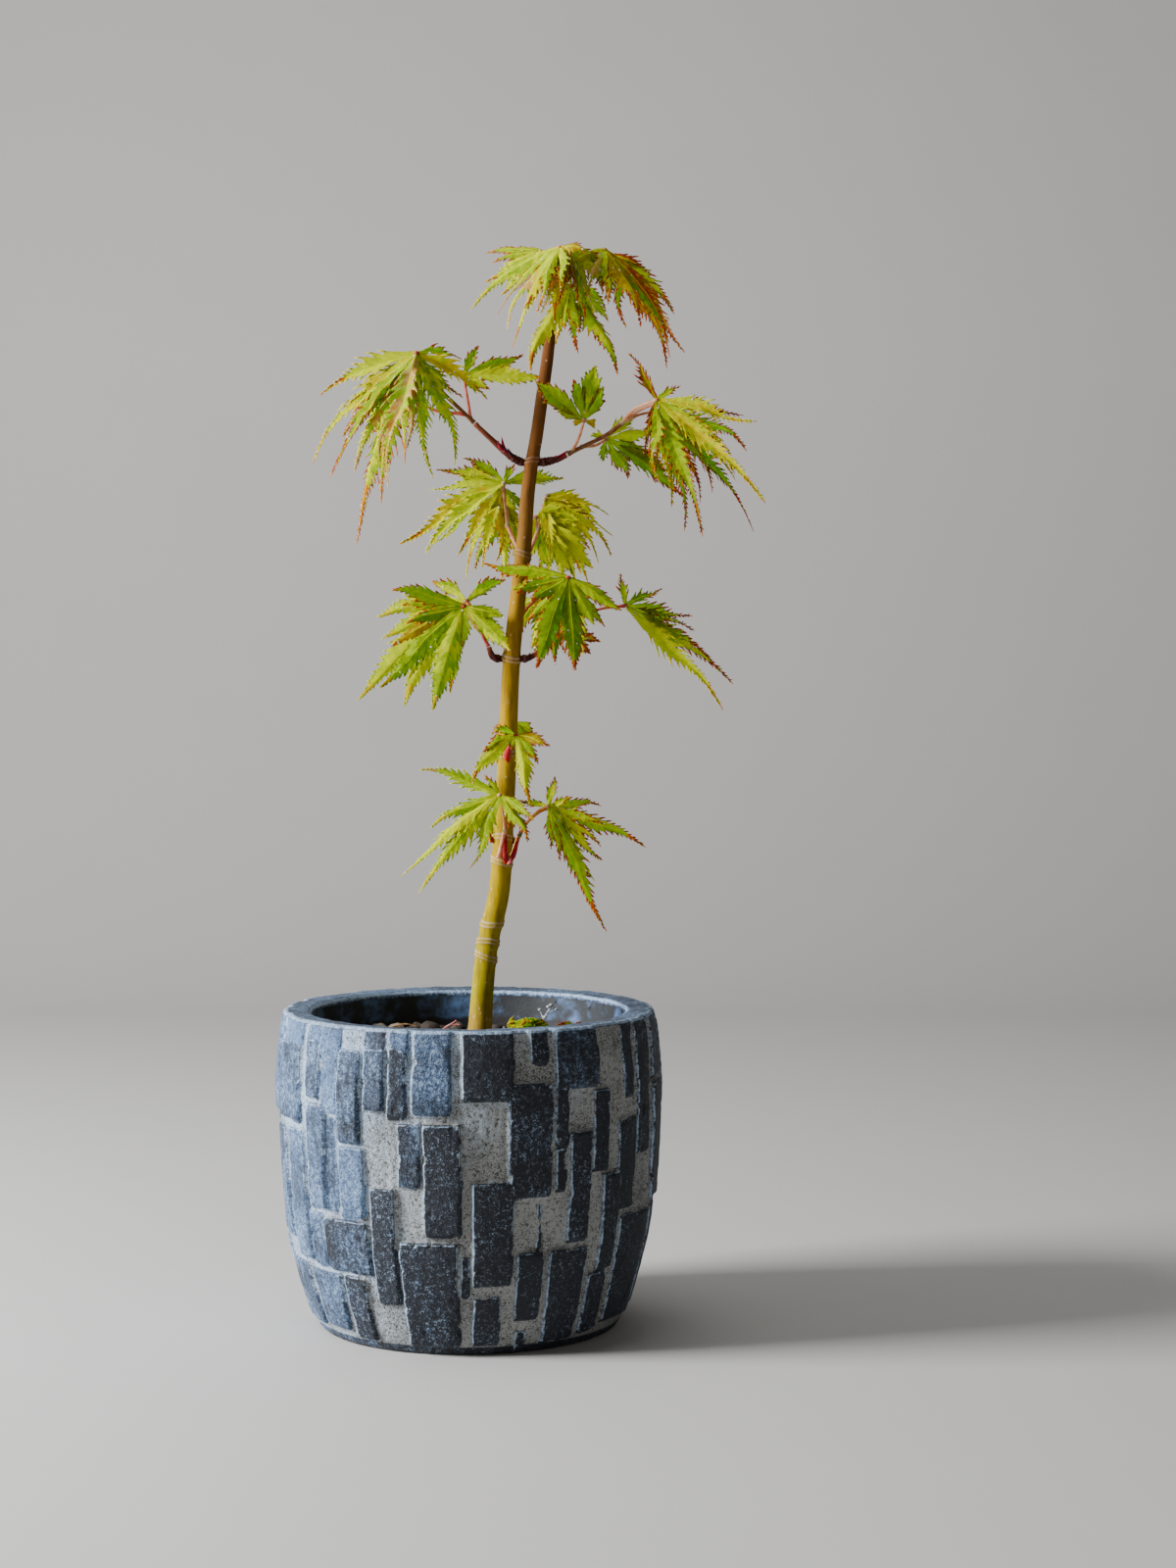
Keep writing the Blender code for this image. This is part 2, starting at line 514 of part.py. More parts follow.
def masses():
    """Every mass of foliage, each with the leaves that grow from its stem."""
    top = ((30.4, 0.6, 363.5), (31, 0.2, 368), (32, -1, 374))
    upper_left = ((2.3, -2, 326.5), (-3, -4, 331.5), (-9, -7, 337))
    upper_right = ((35.9, 1, 315.4), (43, 0.5, 318.8), (50.4, 0, 322.5), (55.3, -2, 326.2))
    centre_left = (14, 10, 290)
    centre_right = (25, 10, 288)
    rear_centre = ((20, 12, 282), (21, 22, 289))
    mid_right = ((25.8, -3.2, 244.4), (27.6, -4, 246.2))
    mid_left = ((7.4, -3, 246.1), (4.5, -4, 252))
    rear_mid = (17, 14, 252)
    low_front = (16.5, -8, 211)
    low_left = (13.4, -6.8, 180)
    low_right = (18.4, -4.4, 178)
    rear_low = (15, 12, 214)
    return (
        Mass("foliage_top", top, 0.9, (
            Leaf("top_left", (33.2, -10, 388),
                 ((238, 38), (224, 32), (212, 35), (204, 41), (198, 26), (177, 20), (114, 10)),
                 (-25, 20, 55), 0.32, ((32, -1, 373), (31, -6.5, 382)), 0.9),
            Leaf("top_back", (26.2, 12, 389.5),
                 ((285, 12), (272, 21), (259, 18), (242, 23), (222, 22), (195, 14)),
                 (-45, -10, 15), 0.2, ((31.5, 0, 371), (28, 8, 383))),
            Leaf("top_right", (49.3, -4, 388),
                 ((238, 14), (200, 16), (178, 21), (158, 33), (150, 46), (145, 40), (130, 25)),
                 (35, 40, -25), 0.32, ((32, -1, 373), (40, -2, 385))),
            Leaf("top_front", (36.9, -6, 374.5),
                 ((228, 10), (204, 34), (187, 16), (170, 18), (153, 37), (134, 19), (112, 9)),
                 (15, 35, 15), 0.2, ((31, 0.2, 368), (34, -3, 373))),
            Leaf("top_rear", (38, 20, 378),
                 ((225, 14), (200, 21), (176, 22), (152, 22), (122, 14)),
                 (-40, -50, -40), 0.4, ((31, 0.2, 369), (34, 11, 377))),
        )),
        Mass("foliage_upper_left", upper_left, 0.75, (
            Leaf("upper_left_outer", (-17.7, -12, 350.5),
                 ((97, 16), (123, 30), (161, 43), (189, 50), (213, 54), (223, 54), (248, 38)),
                 (-20, 35, -15), 0.2, ((-9, -7, 337), (-14, -10, 345))),
            Leaf("upper_left_under", (-26.5, 2, 342),
                 ((247, 20), (228, 28), (209, 33), (196, 60), (188, 44), (174, 30), (158, 17)),
                 (-45, -30, -5), 0.15, ((-1, -3.2, 329.5), (-12, -2, 331), (-22, 0, 337))),
            Leaf("upper_left_inner", (-2.1, 14, 344.5),
                 ((292, 7), (28, 12), (71, 23), (91, 31), (118, 11), (146, 8)),
                 (25, 5, 30), 0.1, ((1, -2.5, 328), (0, 4, 334))),
        )),
        Mass("foliage_upper_right", upper_right, 0.8, (
            Leaf("upper_right_outer", (67.7, -12, 333.8),
                 ((328, 19), (60, 10), (104, 36), (129, 33), (136, 53), (163, 52), (179, 30)),
                 (10, 30, 35), 0.1, ((55.3, -2, 326.2), (60, -6, 331)), 0.8),
            Leaf("upper_right_back", (69, 10, 331.7),
                 ((85, 14), (110, 36), (126, 36), (139, 56), (154, 36), (167, 44), (182, 26)),
                 (-50, -35, -15), 0.15, ((54.5, -1.8, 325.8), (61, 4, 329.5)), 0.8),
            Leaf("upper_right_inner", (41.9, -6, 327),
                 ((262, 4), (286, 10), (308, 22), (345, 15), (12, 20), (30, 14), (108, 4)),
                 (25, 5, -25), 0.0, ((37.5, 1, 316.3), (40, -2, 321)), 1.4),
            Leaf("upper_right_under", (49.8, 14, 321.6),
                 ((287, 6), (51, 14), (81, 19), (116, 25), (124, 35), (149, 16), (188, 8)),
                 (-15, -35, -25), 0.15, ((41, 0.7, 318), (46, 8, 319))),
        )),
        Mass("foliage_centre_left", (beside_trunk(281, -150, centre_left, 0.7), centre_left), 0.7, (
            Leaf("centre_left_upper", (12.5, 16, 305.8),
                 ((226, 38), (239, 44), (265, 27), (282, 26), (302, 18), (28, 8), (84, 22)),
                 (30, -20, -30), 0.15, ((14, 10, 289.6), (13, 13, 299))),
            Leaf("centre_left_lower", (11.5, 24, 300.8),
                 ((150, 12), (167, 20), (184, 24), (194, 27), (203, 33), (213, 22), (223, 18)),
                 (15, 35, -20), 0.25, ((14, 10, 289.6), (13.5, 19, 296.5)), 0.8),
        )),
        Mass("foliage_centre_right", (beside_trunk(281, 140, centre_right, 0.7), centre_right), 0.7, (
            Leaf("centre_right_upper", (28.5, 20, 301.5),
                 ((108, 17), (121, 28), (143, 31), (157, 31), (166, 27), (184, 20)),
                 (-35, -10, 15), 0.35, ((25, 10, 287.6), (27, 17, 297))),
            Leaf("centre_right_lower", (24.3, 12, 293.2),
                 ((68, 10), (94, 16), (116, 20), (132, 28), (147, 26), (166, 20), (186, 14)),
                 (-5, 12, 10), 0.1, ((25, 10, 287.6), (24.5, 11.5, 290.5)), 1.5),
        )),
        Mass("foliage_rear_centre", (beside_trunk(277, 180, rear_centre[0], 0.7), *rear_centre), 0.7, (
            Leaf("rear_centre_left", (13, 34, 293),
                 ((240, 15), (215, 22), (188, 24), (164, 21), (130, 12)),
                 (-45, -45, -35), 0.4, ((21, 21.5, 288.6), (18, 29, 292.5))),
            Leaf("rear_centre_right", (31, 36, 290),
                 ((228, 12), (198, 20), (172, 24), (148, 23), (120, 15)),
                 (-35, -45, -45), 0.4, ((21, 21.5, 288.6), (26, 30, 290.5))),
        )),
        Mass("foliage_mid_right", mid_right, 0.7, (
            Leaf("mid_front", (36.3, -16, 270.7),
                 ((280, 31), (253, 19), (236, 16), (199, 34), (176, 33), (152, 19), (122, 22)),
                 (-8, 30, 15), 0.1, ((27.4, -3.9, 246), (31, -9, 254), (35, -14, 264)), 1.25),
            Leaf("mid_right_outer", (56.7, -2, 260.8),
                 ((353, 12), (64, 15), (98, 25), (110, 27), (122, 37), (126, 48), (137, 51)),
                 (-35, -20, 15), 0.05, ((27.4, -3.9, 246), (36, -4, 252.5), (46, -3, 259)), 0.75),
            Leaf("mid_right_small", (35.8, 4, 248.8),
                 ((30, 6), (65, 8), (95, 12), (122, 10), (155, 8)),
                 (-40, -20, 10), 0.2, ((27.2, -3.8, 245.8), (31.5, 0, 248.3)), 1.3),
        )),
        Mass("foliage_mid_left", mid_left, 0.7, (
            Leaf("mid_left_front", (-1.4, -6, 260.4),
                 ((283, 26), (253, 21), (225, 41), (195, 38), (180, 15), (133, 23), (105, 15)),
                 (10, 35, 25), 0.12, ((4.6, -4, 251.7), (1, -5, 257)), 1.2),
            Leaf("mid_left_back", (-0.8, 5, 262.5),
                 ((299, 15), (260, 34), (247, 35), (229, 56), (212, 46), (160, 12), (60, 16)),
                 (-25, -35, -30), 0.15, ((4.6, -4, 251.7), (2, 1, 258)), 1.2),
        )),
        Mass("foliage_rear_mid", (beside_trunk(242, 180, rear_mid, 0.7), rear_mid), 0.7, (
            Leaf("rear_mid", (25, 26, 264),
                 ((236, 14), (208, 22), (180, 25), (154, 23), (122, 14)),
                 (-40, -45, -40), 0.3, ((17, 13.6, 251.6), (20, 20, 259))),
        )),
        Mass("foliage_low_front", (beside_trunk(207.5, 5, low_front, 0.6), low_front), 0.6, (
            Leaf("low_front", (17.3, -12, 214.4),
                 ((291, 8), (243, 13), (220, 22), (190, 12), (167, 25), (140, 13), (106, 13)),
                 (30, 40, 30), 0.25, ((16.4, -7.7, 210.8), (17, -10, 213.4)), 1.2),
        )),
        Mass("foliage_low_left", (beside_trunk(170, -12, low_left, 0.8), low_left), 0.8, (
            Leaf("low_left", (11.5, -9, 192.7),
                 ((322, 9), (288, 30), (245, 27), (231, 44), (220, 43), (185, 28), (147, 19), (123, 15)),
                 (-10, 30, 35), 0.15, ((13.4, -6.8, 179.6), (12.8, -7.6, 187))),
        )),
        Mass("foliage_low_right", (beside_trunk(170.5, 50, low_right, 0.8), low_right), 0.8, (
            Leaf("low_right", (28.8, -4, 188.4),
                 ((276, 10), (14, 11), (91, 19), (114, 39), (135, 28), (155, 50), (168, 20)),
                 (-35, -20, 10), 0.06, ((18.3, -4.4, 177.6), (20.8, -4.4, 182), (25, -4.2, 186.5)), 0.85),
        )),
        Mass("foliage_rear_low", (beside_trunk(207.5, 178, rear_low, 0.6), rear_low), 0.6, (
            Leaf("rear_low", (16, 19, 218),
                 ((240, 10), (212, 15), (183, 17), (154, 15), (122, 9)),
                 (-35, -45, -35), 0.4, ((15, 11.7, 213.6), (15.5, 15, 216.6))),
        )),
    )


def make_foliage():
    """Every mass of foliage, in one of three leaf greens."""
    greens = [material("leaf_yellow_green", (0.42, 0.48, 0.02), 0.5),
              material("leaf_mid_green", (0.20, 0.33, 0.02), 0.5),
              material("leaf_deep_green", (0.09, 0.17, 0.015), 0.5)]
    for count, mass in enumerate(masses()):
        make_mass(mass, greens[count % len(greens)])


def main():
    """Clears the scene and builds the plant and its pot."""
    for old in list(bpy.data.objects):
        bpy.data.objects.remove(old)
    make_pot()
    make_soil()
    make_trunk()
    dark_bark = material("dark_bark", (0.16, 0.05, 0.04), 0.5)
    for shoot in SHOOTS:
        make_shoot(shoot, dark_bark)
    make_foliage()


if __name__ == "__main__":
    main()
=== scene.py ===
"""The looks of a young potted japanese maple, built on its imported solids.

The pot stands with its underside at z = 0 and its axis on the Z axis. The front is -Y and the right is
+X. Sizes here are in millimetres, and every mesh is made in metres. A heading is an angle in plan, from
0 at the front through 90 at the right to 180 at the back.
"""

import logging
import math
import random
from collections.abc import Iterable, Sequence
from dataclasses import dataclass, field, replace
from enum import Enum
from functools import cache

import bpy
import numpy as np
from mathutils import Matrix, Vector


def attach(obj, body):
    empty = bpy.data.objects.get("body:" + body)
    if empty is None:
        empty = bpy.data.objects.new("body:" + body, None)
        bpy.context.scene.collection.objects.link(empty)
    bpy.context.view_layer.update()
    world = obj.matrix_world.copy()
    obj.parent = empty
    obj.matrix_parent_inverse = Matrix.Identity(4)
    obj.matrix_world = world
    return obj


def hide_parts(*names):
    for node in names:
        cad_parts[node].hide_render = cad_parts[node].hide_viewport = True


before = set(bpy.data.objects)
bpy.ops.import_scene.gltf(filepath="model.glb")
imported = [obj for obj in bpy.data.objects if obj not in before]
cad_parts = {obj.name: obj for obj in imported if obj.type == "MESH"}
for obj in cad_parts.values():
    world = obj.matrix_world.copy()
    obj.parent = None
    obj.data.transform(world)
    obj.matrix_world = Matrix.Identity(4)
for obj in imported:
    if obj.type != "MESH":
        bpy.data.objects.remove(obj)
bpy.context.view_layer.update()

Array = np.ndarray
Point = tuple[float, float, float]
Colour = tuple[float, float, float]

MM = 0.001
GAP = 0.3  # clearance that the solids keep between neighbours
UP = np.array((0.0, 0.0, 1.0))

log = logging.getLogger("maple")


# Numbers on arrays

def unit(vectors: Array) -> Array:
    """The same vectors at length one."""
    return vectors / np.maximum(np.linalg.norm(vectors, axis=-1, keepdims=True), 1e-12)


def ease(values: Array, low: float, high: float) -> Array:
    """A smooth step from 0 at low to 1 at high."""
    share = np.clip((values - low) / (high - low), 0.0, 1.0)
    return share * share * (3 - 2 * share)


def hump(off: Array, width: float) -> Array:
    """A smooth hump, 1 where off is 0 and nearly gone at twice its width."""
    return np.exp(-(off / width) ** 2)


def along(table: Sequence[Sequence[float]], places: Array, column: int = 1) -> Array:
    """Values on a smooth curve through a table.

    Args:
        table: Rows that start with their place, in rising order.
        places: Where the values are wanted.
        column: The column of the table that holds the values.

    Returns:
        One value for each place.
    """
    x = np.array([row[0] for row in table], float)
    y = np.array([row[column] for row in table], float)
    before, after = np.r_[0, np.arange(len(x) - 1)], np.r_[np.arange(1, len(x)), len(x) - 1]
    slopes = (y[after] - y[before]) / (x[after] - x[before])
    places = np.clip(np.asarray(places, float), x[0], x[-1])
    i = np.clip(np.searchsorted(x, places, side="right") - 1, 0, len(x) - 2)
    width = x[i + 1] - x[i]
    t = (places - x[i]) / width
    return (y[i] * (1 + 2 * t) * (1 - t) ** 2 + slopes[i] * width * t * (1 - t) ** 2
            + y[i + 1] * t * t * (3 - 2 * t) - slopes[i + 1] * width * t * t * (1 - t))


def smooth_curve(points: Sequence[Point], count: int) -> Array:
    """Evenly counted points on a smooth curve through the given points.

    Args:
        points: The points that the curve passes.
        count: How many points come back.

    Returns:
        An array of count rows of x, y and z.
    """
    given = np.array(points, float)
    ends = np.vstack([given[0] * 2 - given[1], given, given[-1] * 2 - given[-2]])
    place = np.linspace(0, len(given) - 1, count)
    span = np.minimum(place.astype(int), len(given) - 2)
    t = (place - span)[:, None]
    a, b, c, d = (ends[span + k] for k in range(4))
    return 0.5 * (2 * b + (c - a) * t + (2 * a - 5 * b + 4 * c - d) * t ** 2
                  + (3 * b - a - 3 * c + d) * t ** 3)


def plan_direction(heading: float) -> Array:
    """A unit vector at a heading in plan."""
    turn = math.radians(heading)
    return np.array((math.sin(turn), -math.cos(turn), 0.0))


class Unevenness:
    """A smooth random field in space, the same on every run."""

    CELLS = 32

    def __init__(self, seed: int) -> None:
        """Draws the field's lattice of values."""
        self.lattice = np.random.default_rng(seed).uniform(-1, 1, (self.CELLS,) * 3)

    def at(self, points: Array, size: float, layers: int = 1) -> Array:
        """The field's value at points.

        Args:
            points: Rows of x, y and z.
            size: Width of one bump, in the points' unit.
            layers: How many times finer bumps of half the size and height are added.

        Returns:
            One value for each point, about -1 to 1.
        """
        total, weight, share = 0.0, 0.0, 1.0
        for layer in range(layers):
            total = total + share * self._single(points / size * 2 ** layer + 7.3 * layer)
            weight += share
            share /= 2
        return total / weight

    def _single(self, places: Array) -> Array:
        """One layer of the field.

        Args:
            places: Rows of x, y and z, measured in lattice cells.

        Returns:
            One value for each place.
        """
        low = np.floor(places).astype(int)
        t = places - low
        t = t * t * (3 - 2 * t)
        total = 0.0
        for corner in np.ndindex(2, 2, 2):
            index = (low + corner) % self.CELLS
            share = np.prod(np.where(corner, t, 1 - t), axis=-1)
            total = total + share * self.lattice[index[..., 0], index[..., 1], index[..., 2]]
        return total


# Meshes

@dataclass
class Stock:
    """Points and faces gathered for one piece, with each face's finish and each point's marks.

    marks holds, for each named mark, runs of values with the point that each run starts at.
    """

    points: list = field(default_factory=list)
    faces: list = field(default_factory=list)
    finishes: list = field(default_factory=list)
    marks: dict = field(default_factory=dict)
    count: int = 0

    def add(self, points: Array, faces: Iterable, finish: int | Sequence[int] = 0,
            **marks: Array) -> None:
        """Adds a shape.

        Args:
            points: Its points, in millimetres.
            faces: Its faces, as indices into its own points.
            finish: The index of the finish of all its faces, or one index for each face.
            **marks: A value for each point, for each named mark.
        """
        faces = list(faces)
        self.points.append(np.asarray(points, float).reshape(-1, 3))
        self.faces += [tuple(int(i) + self.count for i in face) for face in faces]
        self.finishes += [finish] * len(faces) if isinstance(finish, int) else list(finish)
        for name, values in marks.items():
            self.marks.setdefault(name, []).append((self.count, np.asarray(values, float).ravel()))
        self.count += len(self.points[-1])

    def piece(self, name: str, finishes: Sequence["Finish"],
              sharp: float | None = None) -> bpy.types.Object:
        """Makes the object.

        Args:
            name: The object's name.
            finishes: The finishes that the faces' indices stand for.
            sharp: The angle in degrees over which an edge stays sharp, or None for smooth all over.

        Returns:
            The new object, linked to the scene.
        """
        mesh = bpy.data.meshes.new(name)
        mesh.from_pydata((np.vstack(self.points) * MM).tolist(), [], self.faces)
        for finish in finishes:
            mesh.materials.append(finish.material())
        mesh.polygons.foreach_set("material_index", self.finishes)
        for mark, runs in self.marks.items():
            values = np.zeros(self.count, np.float32)
            for start, run in runs:
                values[start:start + len(run)] = run
            mesh.attributes.new(mark, "FLOAT", "POINT").data.foreach_set("value", values)
        mesh.shade_smooth()
        if sharp is not None:
            mesh.set_sharp_from_angle(angle=math.radians(sharp))
        made = bpy.data.objects.new(name, mesh)
        bpy.context.scene.collection.objects.link(made)
        return made


def one_shape(name: str, finish: "Finish", points: Array, faces: Iterable,
              **marks: Array) -> bpy.types.Object:
    """Makes a piece of one shape with one finish.

    Args:
        name: The piece's name.
        finish: Its finish.
        points: Its points, in millimetres.
        faces: Its faces, as indices of points.
        **marks: A value for each point, for each named mark.

    Returns:
        The piece.
    """
    stock = Stock()
    stock.add(points, faces, 0, **marks)
    return stock.piece(name, [finish])


def place_piece(piece: bpy.types.Object, slot: str, *nodes: str) -> None:
    """Fixes a piece to the plant's body.

    Args:
        piece: The piece.
        slot: Not used.
        *nodes: The solids that it stands for.
    """
    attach(piece, "root")
    if nodes:
        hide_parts(*nodes)
    log.info("%s: %d faces", piece.name, len(piece.data.polygons))


def grid_faces(rows: int, columns: int, closed: bool) -> list[tuple[int, int, int, int]]:
    """The quads of a grid of points, row by row.

    Args:
        rows: Rows of points.
        columns: Points in a row.
        closed: Whether each row's last point joins its first.

    Returns:
        The faces, facing outwards where rows rise and columns run anticlockwise.
    """
    spans = columns if closed else columns - 1
    return [(r * columns + c, r * columns + (c + 1) % columns,
             (r + 1) * columns + (c + 1) % columns, (r + 1) * columns + c)
            for r in range(rows - 1) for c in range(spans)]


def closed_faces(rings: int, sides: int) -> list[tuple[int, ...]]:
    """The faces of a closed body of rings of points.

    Args:
        rings: Rings of points.
        sides: Points in a ring.

    Returns:
        The faces, for points ring by ring, then the one that closes the foot and the one at the tip.
    """
    foot, tip, last = rings * sides, rings * sides + 1, (rings - 1) * sides
    faces = grid_faces(rings, sides, True)
    faces += [(foot, (s + 1) % sides, s) for s in range(sides)]
    faces += [(tip, last + s, last + (s + 1) % sides) for s in range(sides)]
    return faces


def tube(path: Array, radii: Array, sides: int) -> tuple[Array, list]:
    """A closed round limb along a path.

    Args:
        path: The points of its centre line.
        radii: A radius for each point, or a row of one for each side.
        sides: Points round it.

    Returns:
        Its points, ring by ring and then its two end points, and its faces.
    """
    ahead = unit(np.gradient(path, axis=0))
    across = unit(np.cross(ahead[0], UP if abs(ahead[0][2]) < 0.9 else np.array((0.0, 1.0, 0.0))))
    turns = math.tau * np.arange(sides) / sides
    radii = np.broadcast_to(np.asarray(radii, float).reshape(len(path), -1), (len(path), sides))
    rings = []
    for centre, direction, radius in zip(path, ahead, radii):
        across = unit(across - direction * np.dot(across, direction))
        over = np.cross(direction, across)
        ring = across * np.cos(turns)[:, None] + over * np.sin(turns)[:, None]
        rings.append(centre + ring * radius[:, None])
    return np.vstack([*rings, path[:1], path[-1:]]), closed_faces(len(path), sides)


def ball(rings: int, sides: int) -> tuple[Array, list]:
    """A unit ball with its poles on the Z axis.

    Args:
        rings: Rings of points between the poles.
        sides: Points in a ring.

    Returns:
        Its points and faces.
    """
    angles = math.pi * (np.arange(rings) + 1) / (rings + 1) - math.pi / 2
    turns = math.tau * np.arange(sides) / sides
    body = [(math.cos(a) * math.cos(t), math.cos(a) * math.sin(t), math.sin(a))
            for a in angles for t in turns]
    return np.array([*body, (0, 0, -1), (0, 0, 1)], float), closed_faces(rings, sides)


def facing(direction: Array) -> Array:
    """The rows of a frame turned to a direction.

    Args:
        direction: The direction, of any length.

    Returns:
        Two vectors across it, then the direction itself, all of length one.
    """
    ahead = unit(np.asarray(direction, float))
    across = unit(np.cross(UP if abs(ahead[2]) < 0.95 else np.array((1.0, 0.0, 0.0)), ahead))
    return np.array((across, np.cross(ahead, across), ahead))


# Materials

class Flow:
    """A value or a colour on its way through a material. Sums on values add their Math nodes."""

    def __init__(self, bench: "Bench", socket: bpy.types.NodeSocket) -> None:
        """Wraps an output socket."""
        self.bench = bench
        self.socket = socket

    def _sum(self, operation: str, first: "Flow | float", second: "Flow | float") -> "Flow":
        """One Math node on two numbers."""
        return self.bench.add("ShaderNodeMath", {"operation": operation}, {0: first, 1: second})

    def __add__(self, other: "Flow | float") -> "Flow":
        """Sum."""
        return self._sum("ADD", self, other)

    __radd__ = __add__

    def __sub__(self, other: "Flow | float") -> "Flow":
        """Difference."""
        return self._sum("SUBTRACT", self, other)

    def __rsub__(self, other: "Flow | float") -> "Flow":
        """Difference from a number."""
        return self._sum("SUBTRACT", other, self)

    def __mul__(self, other: "Flow | float") -> "Flow":
        """Product."""
        return self._sum("MULTIPLY", self, other)

    __rmul__ = __mul__

    def band(self, low: float, high: float) -> "Flow":
        """A smooth step from 0 at low to 1 at high."""
        return self.bench.add("ShaderNodeMapRange", {"interpolation_type": "SMOOTHSTEP"},
                              {"Value": self, "From Min": low, "From Max": high})


class Bench:
    """The node tree of one material, and the few ways in which nodes are added to it."""

    def __init__(self, material: bpy.types.Material) -> None:
        """Takes a material.

        Args:
            material: The material, new and with its Principled shader.
        """
        self.tree = material.node_tree
        self.shader = self.tree.nodes["Principled BSDF"]
        self.place = self.add("ShaderNodeTexCoord", {}, {}, "Object")

    def add(self, kind: str, settings: dict, inputs: dict, output: int | str = 0) -> Flow:
        """Adds a node.

        Args:
            kind: The node's type.
            settings: Its own settings, set first. "stops" fills a ramp with (place, colour) pairs.
            inputs: A value or a Flow for each socket, by index or name.
            output: The output that is wanted.

        Returns:
            That output.
        """
        node = self.tree.nodes.new(kind)
        for key, value in settings.items():
            if key == "stops":
                while len(node.color_ramp.elements) < len(value):
                    node.color_ramp.elements.new(1.0)
                for element, (place, colour) in zip(node.color_ramp.elements, value):
                    element.position = place
                    element.color = (*colour, 1.0)
            else:
                setattr(node, key, value)
        for key, value in inputs.items():
            self.feed(node.inputs[key], value)
        return Flow(self, node.outputs[output])

    def feed(self, socket: bpy.types.NodeSocket, value: "Flow | float | Sequence[float]") -> None:
        """Links a Flow to a socket, or sets the socket to a number or colour.

        Args:
            socket: The socket.
            value: The Flow, number, colour or vector that it gets.
        """
        if isinstance(value, Flow):
            self.tree.links.new(value.socket, socket)
        elif isinstance(value, Sequence) and socket.type == "RGBA":
            socket.default_value = (*value, 1.0)
        else:
            socket.default_value = value

    def noise(self, size: float, detail: float = 2.0, stretch: Point = (1, 1, 1)) -> Flow:
        """Noise from 0 to 1.

        Args:
            size: Width of a patch, in millimetres.
            detail: How much finer noise is added.
            stretch: How much finer the noise is along each axis.

        Returns:
            The noise's value.
        """
        place = self.place
        if stretch != (1, 1, 1):
            place = self.add("ShaderNodeVectorMath", {"operation": "MULTIPLY"}, {0: place, 1: stretch})
        return self.add("ShaderNodeTexNoise", {},
                        {"Vector": place, "Scale": 1000 / size, "Detail": detail, "Roughness": 0.55})

    def cells(self, size: float) -> Flow:
        """How far the nearest of scattered dots is, for dots about a size in millimetres apart."""
        return self.add("ShaderNodeTexVoronoi", {}, {"Vector": self.place, "Scale": 1000 / size}, "Distance")

    def height(self) -> Flow:
        """The height above the ground, in metres."""
        return self.add("ShaderNodeSeparateXYZ", {}, {0: self.place}, "Z")

    def mark(self, name: str) -> Flow:
        """A mark that the mesh carries at its points."""
        return self.add("ShaderNodeAttribute", {"attribute_name": name}, {}, "Fac")

    def mix(self, share: "Flow | float", first: "Flow | Colour", second: "Flow | Colour") -> Flow:
        """The first colour, with a share from 0 to 1 of the second over it."""
        return self.add("ShaderNodeMix", {"data_type": "RGBA"}, {0: share, 6: first, 7: second}, 2)

    def ramp(self, value: Flow, *stops: tuple[float, Colour]) -> Flow:
        """A colour ramp on a value."""
        return self.add("ShaderNodeValToRGB", {"stops": stops}, {"Fac": value})

    def bump(self, height: Flow, depth: float, strength: float = 1.0) -> None:
        """Feeds the shader's normal with a relief of a depth in millimetres."""
        relief = {"Height": height, "Distance": depth * MM, "Strength": strength}
        self.feed(self.shader.inputs["Normal"], self.add("ShaderNodeBump", {}, relief))

    def set(self, **sockets: "Flow | float | Colour") -> None:
        """Sets or feeds the shader's own sockets, named with _ for a space."""
        for name, value in sockets.items():
            self.feed(self.shader.inputs[name.replace("_", " ")], value)


@dataclass(frozen=True)
class Finish:
    """A surface finish with its name. Each kind of finish says how it is painted."""

    name: str

    def paint(self, bench: Bench) -> None:
        """Adds the finish's nodes."""
        raise NotImplementedError

    @cache
    def material(self) -> bpy.types.Material:
        """The finish's one material, made the first time it is asked for.

        Returns:
            The material.
        """
        made = bpy.data.materials.new(self.name)
        made.use_nodes = True
        self.paint(Bench(made))
        return made


